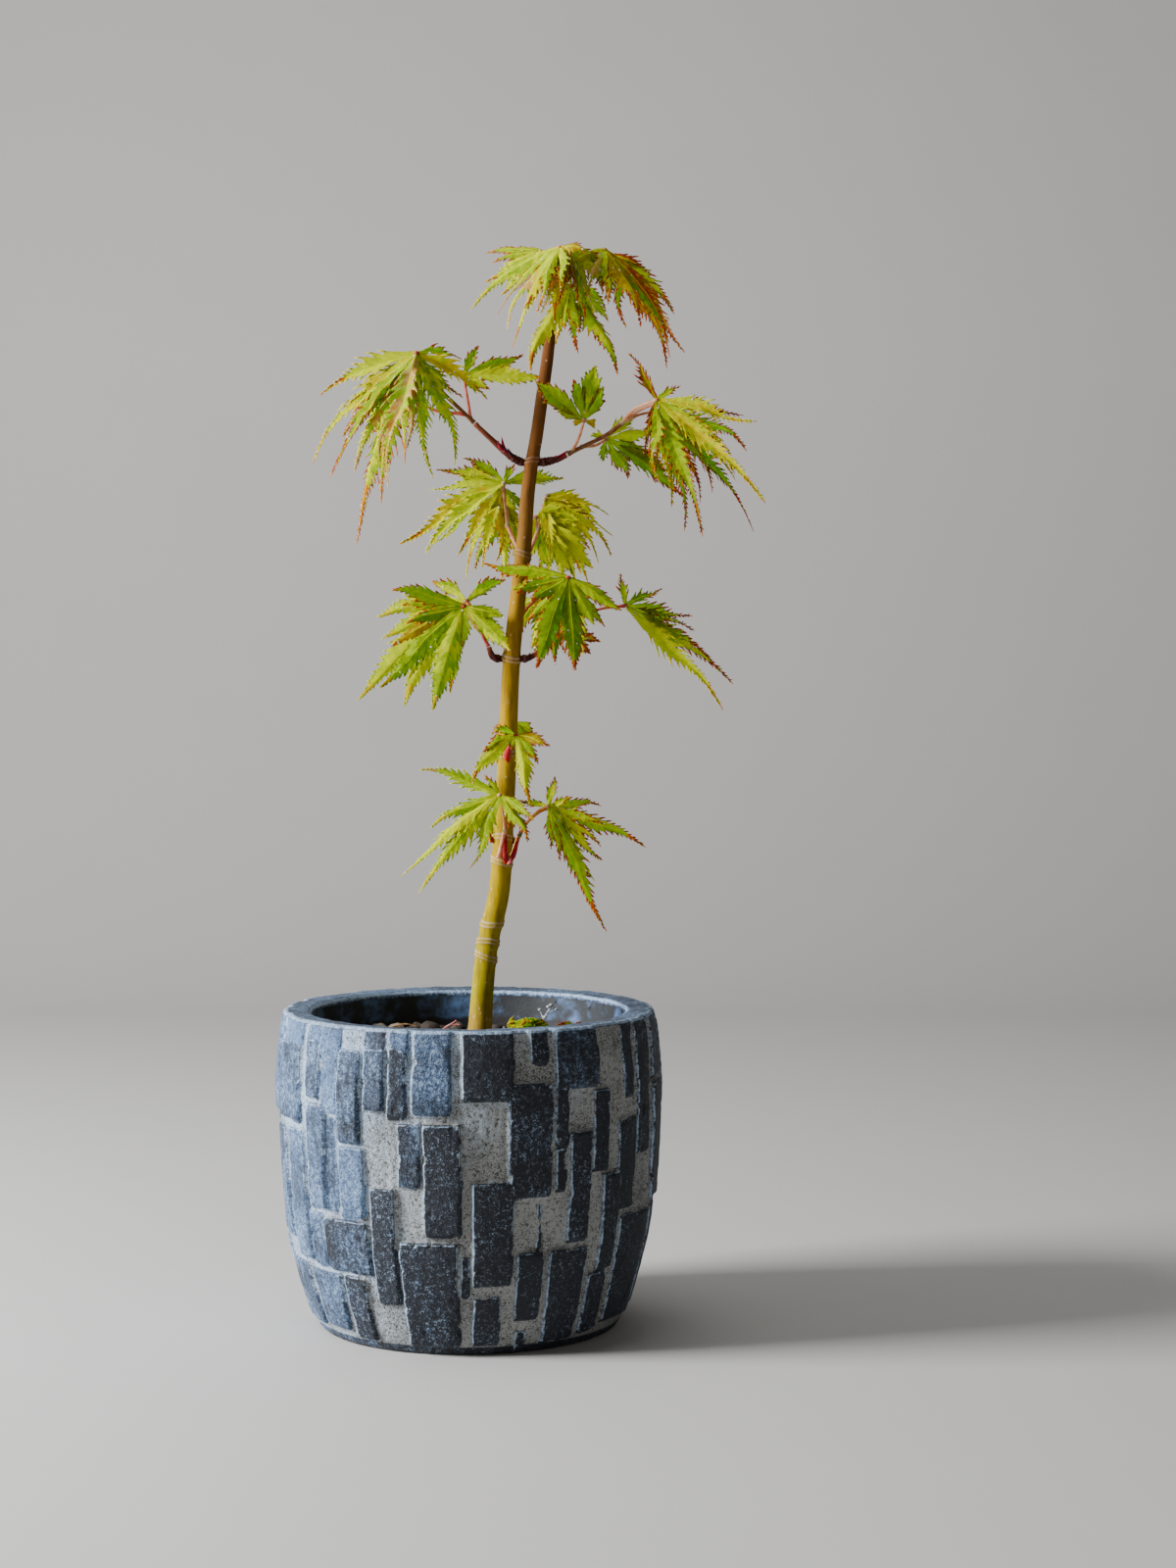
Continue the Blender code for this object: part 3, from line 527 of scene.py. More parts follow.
@dataclass(frozen=True)
class CastCement(Finish):
    """Charcoal cement with a pale bluish veil, partly its own and partly painted sheen that is strongest at
    the left and high up: speckled slabs, sandy recesses and scuffed edges, with painted light on all three.
    """

    charcoal: Colour = (0.013, 0.015, 0.021)
    bloom_and_sheen: Colour = (0.095, 0.175, 0.33)
    sand: Colour = (0.31, 0.32, 0.31)
    pale: Colour = (0.44, 0.59, 0.78)
    pit: Colour = (0.030, 0.028, 0.026)

    def paint(self, bench: Bench) -> None:
        """Paints the slabs and the recesses apart, then lays one over the other and rubs the edges.

        The mesh has three marks: slab is 1 on a slab, with its edge moved so that lit side walls take the
        recess colour and shaded ones the slab colour, as painted light and shade; wear is 1 on a scuffed
        edge, strongest on the left and upper edges as painted highlight; and tone says how much pale veil
        there is, partly a random difference and partly painted sheen that is strongest at the left and high
        up.

        Args:
            bench: The material's nodes.
        """
        slab, wear, tone = bench.mark("slab"), bench.mark("wear"), bench.mark("tone")
        clouds, grain, grit = bench.noise(14, 4), bench.noise(0.48, 2), bench.noise(1.4, 3)
        brush = bench.noise(2.4, 3, (1, 1, 0.22))
        # painted sheen: a pale bluish veil on the slab faces, strongest at the left and high up, broken by
        # random clouds and brush marks
        veil_and_sheen = (tone + clouds * 0.9 + grit * 0.3 + brush * 0.5).band(1.08, 1.78)
        rubbed = (clouds * 0.6 + brush * 0.4).band(0.42, 0.62)
        # pale specks: partly the cement's grain and partly painted glints of grains caught by the light
        specks_and_glints = (grain * 0.6 + grit * 0.4 + tone * 0.12).band(0.54, 0.67)
        pores = (grain * 0.6 + grit * 0.4).band(0.47, 0.38)
        face = bench.mix(veil_and_sheen * 0.82, self.charcoal, self.bloom_and_sheen)
        face = bench.mix(specks_and_glints * (0.14 + 0.40 * rubbed), face, self.pale)
        face = bench.mix(pores * 0.60, face, self.charcoal)
        # painted light: the recesses turn paler towards the left and high up, with random clouds
        haze_and_light = (clouds * 0.5 + grit * 0.4 + tone * 0.8).band(0.52, 1.15)
        smuts = (grain * 0.6 + clouds * 0.4).band(0.50, 0.42)
        pits = (grain * 0.45 + grit * 0.55).band(0.49, 0.39)
        hollow = bench.mix(haze_and_light * 0.85, self.sand, self.pale)
        hollow = bench.mix(smuts * 0.55, hollow, self.charcoal)
        hollow = bench.mix(pits * 0.75, hollow, self.pit)
        ragged = (slab + (grit - 0.5) * 0.9).band(0.30, 0.62)
        # pale scuffed edges, brightest on the left and upper edges as painted highlight
        rub_and_highlight = (wear * 0.9 + grit * 0.6 + grain * 0.3).band(0.95, 1.28)
        colour = bench.mix(rub_and_highlight * 0.75, bench.mix(ragged, hollow, face), self.pale)
        bench.set(Base_Color=colour, Roughness=0.92 - ragged * 0.30 + veil_and_sheen * 0.12, Specular_IOR_Level=0.25,
                  Sheen_Weight=0.05, Sheen_Tint=(0.7, 0.85, 1.0))
        bench.bump(grain * 0.5 + grit * 0.9 + brush * 0.4, 0.6)


@dataclass(frozen=True)
class InnerCement(Finish):
    """The pot's inner face: smooth dark cement with bluish clouds, pale stains and air bubbles."""

    dark: Colour = (0.016, 0.019, 0.022)
    cloud: Colour = (0.11, 0.22, 0.44)
    stain: Colour = (0.28, 0.42, 0.60)
    # painted shadow: near black colour where the wall meets the soil
    gap_shadow: Colour = (0.014, 0.010, 0.008)
    gap_shadow_heights: tuple[float, float] = (106.8, 105.2)  # heights at which the painted shadow above the soil starts, and where it is full

    def paint(self, bench: Bench) -> None:
        """Clouds on the dark, with a few stains and bubbles over them and painted shadow just above the soil.

        Args:
            bench: The material's nodes.
        """
        clouds, soft, fine = bench.noise(16, 4), bench.noise(6, 3), bench.noise(0.8, 2)
        colour = bench.mix((clouds * 0.8 + soft * 0.3).band(0.50, 0.72), self.dark, self.cloud)
        colour = bench.mix((clouds * 0.4 + soft * 0.6).band(0.63, 0.72) * 0.4, colour, self.stain)
        bubble = bench.cells(6.5).band(0.15, 0.09)
        colour = bench.mix(bubble * 0.9, colour, self.dark)
        # painted shadow in the gap between the soil and the wall
        gap_shade = (bench.height() * 1000 + soft * 3).band(*self.gap_shadow_heights)
        colour = bench.mix(gap_shade * 0.92, colour, self.gap_shadow)
        bench.set(Base_Color=colour, Roughness=0.6 + fine * 0.2)
        bench.bump(fine * 0.25 + soft * 0.6 - bubble, 0.5, 0.8)


@dataclass(frozen=True)
class Earth(Finish):
    """Damp potting soil, crumbs, chips and small stones."""

    dark: Colour = (0.012, 0.009, 0.007)
    light: Colour = (0.06, 0.042, 0.028)
    roughness: float = 0.95

    def paint(self, bench: Bench) -> None:
        """Mottled between the two colours, with a grainy relief.

        Args:
            bench: The material's nodes.
        """
        patches, fine = bench.noise(5, 3), bench.noise(0.7, 3)
        mottle = (patches * 0.6 + fine * 0.5).band(0.38, 0.75)
        bench.set(Base_Color=bench.mix(mottle, self.dark, self.light), Roughness=self.roughness - fine * 0.15)
        bench.bump(fine, 0.3)


@dataclass(frozen=True)
class Bark(Finish):
    """Young bark coloured by height, with corky node rings and pale pores.

    stops are (place, colour) pairs, with place 0 at the height low and 1 at the height high.
    """

    stops: tuple = ((0.0, (0.30, 0.16, 0.09)), (1.0, (0.12, 0.06, 0.03)))
    low: float = 100.0
    high: float = 365.0
    ring: Colour = (0.60, 0.42, 0.33)
    pore: Colour = (0.62, 0.42, 0.24)
    shade: Colour = (0.07, 0.028, 0.012)

    def paint(self, bench: Bench) -> None:
        """Streaks and flecks over the colour of the height, then the rings and the pores.

        The mesh has two marks: ring is 1 on a node's ring, and pore is 1 on a pore.

        Args:
            bench: The material's nodes.
        """
        share = (bench.height() - self.low * MM) * (1000 / (self.high - self.low))
        streaks, fine, patches = bench.noise(1.4, 3, (1, 1, 0.16)), bench.noise(0.5, 2), bench.noise(7, 3)
        colour = bench.ramp(share, *self.stops)
        dark = bench.mix(0.55, colour, self.shade)
        colour = bench.mix((streaks * 0.7 + patches * 0.5).band(0.52, 0.78) * 0.7, colour, dark)
        colour = bench.mix((fine * 0.5 + patches * 0.5).band(0.60, 0.68) * 0.15, colour, self.pore)
        colour = bench.mix(bench.mark("ring") * (0.55 + 0.6 * fine), colour, self.ring)
        colour = bench.mix(bench.mark("pore").band(0.25, 0.75), colour, self.pore)
        bench.set(Base_Color=colour, Roughness=0.60 + 0.2 * streaks, Specular_IOR_Level=0.02)
        bench.bump(streaks + fine * 0.4, 0.16, 0.7)


@dataclass(frozen=True)
class Skin(Finish):
    """A plant's smooth living skin: stalks, buds and leaf blades. Beads of water have it too."""

    colour: Colour = (0.3, 0.4, 0.02)
    other: Colour = (0.2, 0.3, 0.02)
    roughness: float = 0.70
    wet: float = 0.0  # weight of the film of water
    shine: float = 0.015
    glow: float = 0.92  # how much light passes under the skin
    patch: float = 2.4  # size of a patch of the other colour
    relief: float = 0.10

    def paint(self, bench: Bench) -> None:
        """Mottled between two close colours, with a faint relief, a wet gloss and light through it.

        Args:
            bench: The material's nodes.
        """
        patches, fine = bench.noise(self.patch, 3), bench.noise(0.45, 1)
        through = tuple((part / max(self.colour)) ** 1.5 + 0.005 for part in self.colour)
        bench.set(Base_Color=bench.mix(patches.band(0.38, 0.64), self.colour, self.other),
                  Roughness=self.roughness + (fine - 0.5) * 0.2, Specular_IOR_Level=self.shine,
                  Coat_Weight=self.wet, Coat_Roughness=0.15, Subsurface_Weight=self.glow,
                  Subsurface_Scale=1.2 * MM, Subsurface_Radius=through)
        bench.bump(fine + patches * 0.5, self.relief, 0.6)


class Choice(Enum):
    """A choice among the finishes of one piece, which carries them in this order."""

    def __init__(self, finish: Finish) -> None:
        """Numbers the choice."""
        self.finish = finish
        self.index = len(type(self).__members__)

    @classmethod
    def finishes(cls) -> list[Finish]:
        """All the finishes, in order."""
        return [choice.finish for choice in cls]


class Tint(Choice):
    """The colours of a leaf, partly its own and partly painted light and shade, chosen for each lobe by how
    it lies to the light. SILVER, a pale bluish green, stands for wet lobes and is partly painted highlight.
    """

    LIME = Skin("leaf_lime", (0.45, 0.52, 0.0003), (0.35, 0.44, 0.0003))
    GREEN = Skin("leaf_green", (0.27, 0.36, 0.0005), (0.18, 0.27, 0.0005))
    DEEP = Skin("leaf_deep_green", (0.15, 0.21, 0.0005), (0.10, 0.15, 0.0005))
    OLIVE = Skin("leaf_olive", (0.27, 0.22, 0.0005), (0.19, 0.12, 0.001))
    GOLD = Skin("leaf_gold", (0.56, 0.47, 0.0003), (0.47, 0.35, 0.0003))
    ORANGE = Skin("leaf_orange", (0.50, 0.22, 0.002), (0.38, 0.13, 0.003))
    RUST = Skin("leaf_rust", (0.30, 0.090, 0.010), (0.19, 0.050, 0.008))
    SILVER = Skin("leaf_silver", (0.36, 0.50, 0.008), (0.29, 0.42, 0.003), 0.30, 0.05, 0.08)
    BLUSH = Skin("leaf_blush", (0.54, 0.34, 0.10), (0.46, 0.24, 0.03), 0.5, 0.0, 0.1)
    RIB = Skin("leaf_rib", (0.40, 0.44, 0.004), (0.33, 0.39, 0.002))


class LightCopy(Enum):
    """Lit and shaded copies of the leaf tints, as a factor on their colours: painted light, with darker
    copies for masses in strong light and paler ones for masses in shade.
    """

    YOUNG = 0.86
    GROWN = 1.0
    PALE = 1.5

    def skins(self) -> list[Skin]:
        """The tints' finishes in this lit or shaded copy.

        Returns:
            One finish for each tint, in order.
        """
        return [replace(skin, name=f"{skin.name}_{self.name.lower()}",
                        colour=tuple(part * self.value for part in skin.colour),
                        other=tuple(part * self.value for part in skin.other)) for skin in Tint.finishes()]


class LobeLook(Enum):
    """The tints of one lobe, by the letter that a leaf's list of tints has for it."""

    L = Tint.LIME, Tint.LIME, Tint.GOLD, Tint.ORANGE
    l = Tint.LIME, Tint.GREEN, Tint.RUST, Tint.ORANGE
    G = Tint.GREEN, Tint.GREEN, Tint.RUST, Tint.ORANGE
    g = Tint.GREEN, Tint.LIME, Tint.GREEN, Tint.GOLD
    V = Tint.LIME, Tint.LIME, Tint.LIME, Tint.GOLD
    D = Tint.DEEP, Tint.DEEP, Tint.RUST, Tint.RUST
    d = Tint.DEEP, Tint.GREEN, Tint.DEEP, Tint.OLIVE
    O = Tint.OLIVE, Tint.OLIVE, Tint.RUST, Tint.RUST
    Y = Tint.GOLD, Tint.LIME, Tint.GOLD, Tint.ORANGE
    y = Tint.GOLD, Tint.GOLD, Tint.GOLD, Tint.ORANGE
    R = Tint.OLIVE, Tint.RUST, Tint.RUST, Tint.RUST
    S = Tint.SILVER, Tint.SILVER, Tint.LIME, Tint.BLUSH
    P = Tint.BLUSH, Tint.SILVER, Tint.BLUSH, Tint.BLUSH

    def __init__(self, inner: Tint, outer: Tint, margin: Tint, tip: Tint) -> None:
        """Names the tints beside the rib, outside that, at the margin and at the tip."""
        self.inner, self.outer, self.margin, self.tip = inner, outer, margin, tip


# Pot

@dataclass
class Slab:
    """One slab cast on the pot's wall.

    left and right are the headings of its edges, low and high their heights. relief is how far it stands
    proud, tone how much pale veil it has, partly a random difference and partly painted sheen that is
    strongest at the left and high up, and tip how much more relief it has at its right edge.
    """

    left: float
    right: float
    low: float
    high: float
    relief: float
    tone: float
    tip: float


@dataclass
class Pot:
    """The round cement pot with raised slabs."""

    height: float = 115.0
    base_radius: float = 52.5
    wall: tuple = ((1.6, 54.6), (7, 56.8), (19, 60.6), (37, 64.8), (55, 66.8), (72, 67.8), (90, 68.3),
                   (105, 67.4), (112, 66.5))  # height, radius between the slabs
    mouth_radius: float = 57.0
    well_radius: float = 51.5
    floor: float = 9.0
    corner: float = 6.0
    columns: int = 740
    wall_rows: int = 117
    rim_round: float = 1.5
    rim_foot: float = 112.0  # above it the wall leans in, and slabs that pass it run up to the rim
    rim_lean: float = 0.12
    edge_stray: float = 0.85  # how far the slabs' edges stray from a straight line
    chip_depth: float = 0.9
    corner_cut: float = 1.2  # size of the slabs' rounded corners
    left_wear: float = 1.0  # how pale a slab's edges are on each side: scuffing, and painted highlight on the left and upper sides
    top_wear: float = 0.9
    other_wear: float = 0.35
    slabs: tuple = (  # left and right in degrees, low, high, relief
        (-14, -3, 86, 112.5, 1.6), (0, 15, 91, 112.5, 2.0), (20, 26, 103, 112.5, 1.5),
        (27.5, 43, 94, 112.5, 2.1), (27.5, 32, 74, 95, 1.6), (13.5, 27, 57, 96.5, 1.8),
        (41, 47, 64, 93, 1.5), (61, 69, 67, 112.5, 1.8), (32.5, 40.5, 40, 79, 1.9), (45, 53, 28, 63, 2.1),
        (51, 61, 48.5, 81, 1.6), (3, 15.5, 26, 63, 2.0), (-11, 0, 44, 83, 2.2), (-19, -1, 3.5, 41.5, 2.0),
        (3, 12.5, 4, 22, 1.5), (16.5, 25.5, 13, 37.5, 1.7), (27, 41, 4, 38, 2.1), (42.5, 52, 5, 27, 1.6),
        (54, 73, 7, 46, 1.9), (-28, -20, 18, 60, 1.9), (-19, -12, 61, 83, 1.4), (-22, -16, 84.5, 109, 1.5),
        (-30, -23, 87, 108, 1.8), (-39, -31, 75, 107, 2.0), (-39, -30, 48, 73.5, 1.6),
        (-47, -29, 28.5, 47, 1.8), (-53, -45, 50, 87, 1.7), (-41, -32, 4, 27, 1.5), (-58, -43, 6, 27.5, 1.6),
        (-54, -47, 88.5, 109, 1.5), (-73, -57, 79, 106, 1.7), (-66, -55, 30, 76, 1.5),
        (-83, -69, 36, 75.5, 1.2), (-78, -61, 5, 28, 1.3), (-92, -76, 80, 112.5, 1.6),
        (-97, -86, 44, 77, 1.0), (-95, -81, 4, 41, 1.2), (71, 82, 49, 91, 2.7), (73, 84, 92.5, 112.5, 1.6),
        (76, 86, 9, 45.5, 1.4),
    )
    thin_slabs: tuple = (  # small or thin slabs that the solid does without
        (-54.5, -39, 104, 112.5, 1.1), (-46.8, -39.5, 84, 105, 1.0), (-22.5, -15.8, 106, 112.5, 1.1),
        (-30.5, -23.5, 107, 112.5, 0.6), (-73, -57.5, 104, 112.5, 1.0), (54, 60, 88, 112.5, 0.9),
        (-46.5, -40, 50, 83, 0.35), (22.6, 24.4, 38.5, 56.5, 0.35), (28.2, 32, 58, 73.5, 0.6),
        (-0.6, 2.6, 22, 37, 0.45), (-54.5, -47.6, 29, 49, 1.1), (17.8, 22.5, 1, 9, 0.5),
    )
    uneven: Unevenness = field(default_factory=lambda: Unevenness(11))

    def all_slabs(self) -> list[Slab]:
        """The slabs of the front and, turned half round, of the back.

        Returns:
            All the slabs, each with its tip and its pale veil, partly random and partly painted sheen.
        """
        draw = random.Random(5)
        made = []
        for turn in (0, 180):
            for left, right, low, high, relief in (*self.thin_slabs, *self.slabs):
                # painted sheen by place, with a random difference for each slab
                tone = self.bloom_and_sheen((left + right) / 2 + turn, (low + high) / 2) + draw.uniform(-0.20, 0.20)
                tip = draw.uniform(-0.3, 0.3)
                made.append(Slab(left + turn, right + turn, low, high, relief, tone, tip))
        return made

    def bloom_and_sheen(self, heading: float | Array, height: float | Array) -> float | Array:
        """How much painted sheen there is at a place, a painted reflection of the light from the left: most
        at the left and high up, least at the right.
        """
        sideways = 0.44 * np.cos(np.radians(heading + 80))
        return np.clip(0.22 + sideways + 0.0032 * (height - 60), 0.0, 0.9)

    def on_wall(self, radius: Array, turns: Array, heights: Array) -> Array:
        """Points at radii, headings and heights."""
        turns, heights = np.radians(turns) + 0 * radius, heights + 0 * radius
        return np.stack([radius * np.sin(turns), -radius * np.cos(turns), heights], -1)

    def relief(self, turns: Array, heights: Array) -> tuple[Array, ...]:
        """The slabs' relief over the wall.

        Args:
            turns: Headings of the wall's points, in degrees.
            heights: Their heights.

        Returns:
            How far each point stands proud, and its slab, wear and tone marks, which hold painted light and
            shade as well as the slabs, scuffing and random differences.
        """
        radius = along(self.wall, heights)
        place = self.on_wall(radius, turns, heights)
        stray = [self.uneven.at(place + 40 * k, 8.0, 3) * self.edge_stray for k in range(4)]
        chips = ease(self.uneven.at(place + 170, 2.8, 2), 0.25, 0.65) * self.chip_depth
        proud, mask, wear = np.zeros_like(heights), np.zeros_like(heights), np.zeros_like(heights)
        # between the slabs: painted sheen by place, with random clouds
        tone = self.bloom_and_sheen(turns, heights) + 0.25 * self.uneven.at(place + 90, 24.0, 2)
        for slab in self.all_slabs():
            middle, half = (slab.left + slab.right) / 2, (slab.right - slab.left) / 2
            off = (turns - middle + 180) % 360 - 180
            left = np.radians(half + off) * radius + stray[0]
            right = np.radians(half - off) * radius + stray[1]
            under = heights - slab.low + stray[2]
            over = slab.high - heights + stray[3]
            if slab.high > self.rim_foot:
                over = np.full_like(heights, 99.0)
            sideways, upright = np.minimum(left, right), np.minimum(under, over)
            corner = np.maximum(self.corner_cut - sideways, 0) * np.maximum(self.corner_cut - upright, 0)
            inside = np.minimum(sideways, upright) - chips - corner / 3.0
            height = (slab.relief + slab.tip * np.clip(off / half, -1, 1)) * ease(inside, -0.45, 0.55)
            top = height > proud
            # left and upper edges get more pale edge than the rest: partly scuffing, partly painted highlight
            # where the light falls
            worn_and_lit = np.where(over <= under, self.top_wear, self.other_wear)
            worn_and_lit = np.where(left <= np.minimum(right, upright), self.left_wear, worn_and_lit)
            proud = np.where(top, height, proud)
            # lit left and upper side walls take the pale recess colour and shaded side walls the dark slab
            # colour: painted light and painted shade
            bare = 0.75 * (worn_and_lit - self.other_wear)
            mask = np.where(top, ease(inside, bare - 0.6, bare), mask)
            wear = np.where(top, worn_and_lit * np.maximum(0, 1 - np.abs(inside - 0.45) / 0.95), wear)
            tone = np.where(top, slab.tone, tone)
        return proud, mask, wear, tone

    def shell(self) -> None:
        """Makes the underside, outer wall and rim, up to the mouth.

        Its rows of points run from the middle of the underside, up the wall and over the rim. Each row has
        its radius, its height and its slab, wear and tone marks, which hold painted light and shade as well.
        """
        turns = np.linspace(0, 360, self.columns, endpoint=False)
        foot, top = self.wall[0][0], self.height - self.rim_round
        across, up = np.meshgrid(turns, np.linspace(foot, top, self.wall_rows))
        held = np.minimum(up, self.rim_foot)
        proud, slab, wear, tone = self.relief(across, held)
        radius = along(self.wall, held) - self.rim_lean * np.maximum(up - self.rim_foot, 0)
        place = self.on_wall(radius, across, up)
        streaks = self.uneven.at(place * (1, 1, 0.15) + 60, 2.6, 2) * 0.22 * (1 - slab)
        dents = self.uneven.at(place, 22.0, 3) * 0.40 + self.uneven.at(place + 50, 3.0, 2) * 0.16
        pits = ease(self.uneven.at(place + 20, 2.4), 0.66, 0.85) * 0.5
        radius = radius + proud * (1 - 0.35 * ease(up, 110, 115)) + dents + streaks - pits
        slab = np.maximum(slab, 1 - ease(up, 2.4, 4.2))
        full = np.ones(self.columns)
        rows = [(share * self.base_radius * full, 0.0, 1.0, 0.2, 0.1) for share in (0.05, 0.5, 0.94)]
        skirt = self.base_radius + 0.9 + 0.6 * (radius[0] - self.base_radius - 2)
        rows.append((skirt, 0.35, 1.0, 0.3, 0.1))
        rows += list(zip(radius, up, slab, wear, tone))
        outer, rim_rows = radius[-1], len(rows)
        # the rim's rows take set amounts of pale edge and pale veil, which hold painted highlight and painted
        # sheen
        for turn in np.linspace(0, math.pi / 2, 5)[1:]:
            rows.append((outer - self.rim_round * (1 - math.cos(turn)),
                         self.height - self.rim_round * (1 - math.sin(turn)), 1.0, 0.8, 0.55))
        for share in (0.2, 0.45, 0.7, 0.9):
            flat = (outer - self.rim_round) * (1 - share) + (self.mouth_radius + 0.9) * share
            rows.append((flat, self.height - 0.3 * share, 1.0, 0.1, 0.5))
        for wider, drop, worn_and_lit, pale in ((0.5, 0.7, 0.9, 0.9), (0.1, 1.4, 0.8, 0.8), (0.0, 2.4, 0.3, 0.5)):
            rows.append((full * (self.mouth_radius + wider), self.height - drop, 1.0, worn_and_lit, pale))
        points = self.on_wall(np.array([row[0] for row in rows]), turns,
                              np.array([full * row[1] for row in rows])).reshape(-1, 3)
        rim = slice((rim_rows + 2) * self.columns, None)
        points[rim, 2] += self.uneven.at(points[rim], 7.0, 3) * 0.4
        marks = {name: np.concatenate([*(full * row[k] for row in rows), [0.1]])
                 for k, name in ((2, "slab"), (3, "wear"), (4, "tone"))}
        middle = len(points)
        faces = grid_faces(len(rows), self.columns, True)
        faces += [(middle, (c + 1) % self.columns, c) for c in range(self.columns)]
        points = np.vstack([points, (0, 0, 0)])
        shell = one_shape("pot_shell", CastCement("cast_cement"), points, faces, **marks)
        place_piece(shell, "cement", "pot")

    def well(self) -> None:
        """Makes the inner wall and floor, down from the mouth."""
        turns = np.linspace(0, 360, self.columns // 2, endpoint=False)
        low, high = self.floor + self.corner, self.height - 2.0
        widening = self.mouth_radius + 0.1 - self.well_radius
        profile = [(self.well_radius + widening * (height - low) / (high - low), height)
                   for height in np.linspace(high, low, 44)]
        profile += [(self.well_radius - self.corner, self.floor), (2.0, self.floor)]
        radii, heights = (np.array(values)[:, None] for values in zip(*profile))
        place = self.on_wall(radii + 0 * turns, turns, heights)
        dents = self.uneven.at(place + 10, 14.0, 3) * 0.45
        dents[:1] = 0
        place[..., :2] *= (1 + dents / np.maximum(radii, 20))[..., None]
        count = len(profile) * len(turns)
        faces = grid_faces(len(profile), len(turns), True)
        faces += [(count, count - len(turns) + c, count - len(turns) + (c + 1) % len(turns))
                  for c in range(len(turns))]
        points = np.vstack([place.reshape(-1, 3), (0, 0, self.floor)])
        place_piece(one_shape("pot_well", InnerCement("inner_cement"), points, faces), "cement")

    def build(self) -> None:
        """Makes both pieces."""
        self.shell()
        self.well()


# Soil

class Grain(Choice):
    """What the soil is strewn with: each kind's share of the grains, and its least and greatest size."""

    CRUMB = Earth("earth_crumb", (0.020, 0.014, 0.010), (0.075, 0.052, 0.035)), 0.70, 0.5, 1.5
    CHIP = Earth("bark_chip", (0.07, 0.035, 0.018), (0.22, 0.12, 0.06), 0.8), 0.17, 0.6, 1.3
    STONE = Earth("grey_stone", (0.13, 0.13, 0.12), (0.30, 0.29, 0.26), 0.8), 0.06, 0.9, 2.0
    GRIT = Earth("tan_grit", (0.30, 0.22, 0.13), (0.55, 0.45, 0.32), 0.8), 0.07, 0.35, 0.8

    def __init__(self, finish: Finish, share: float, least: float, greatest: float) -> None:
        """Numbers the kind of grain and keeps its sizes."""
        super().__init__(finish)
        self.share, self.least, self.greatest = share, least, greatest


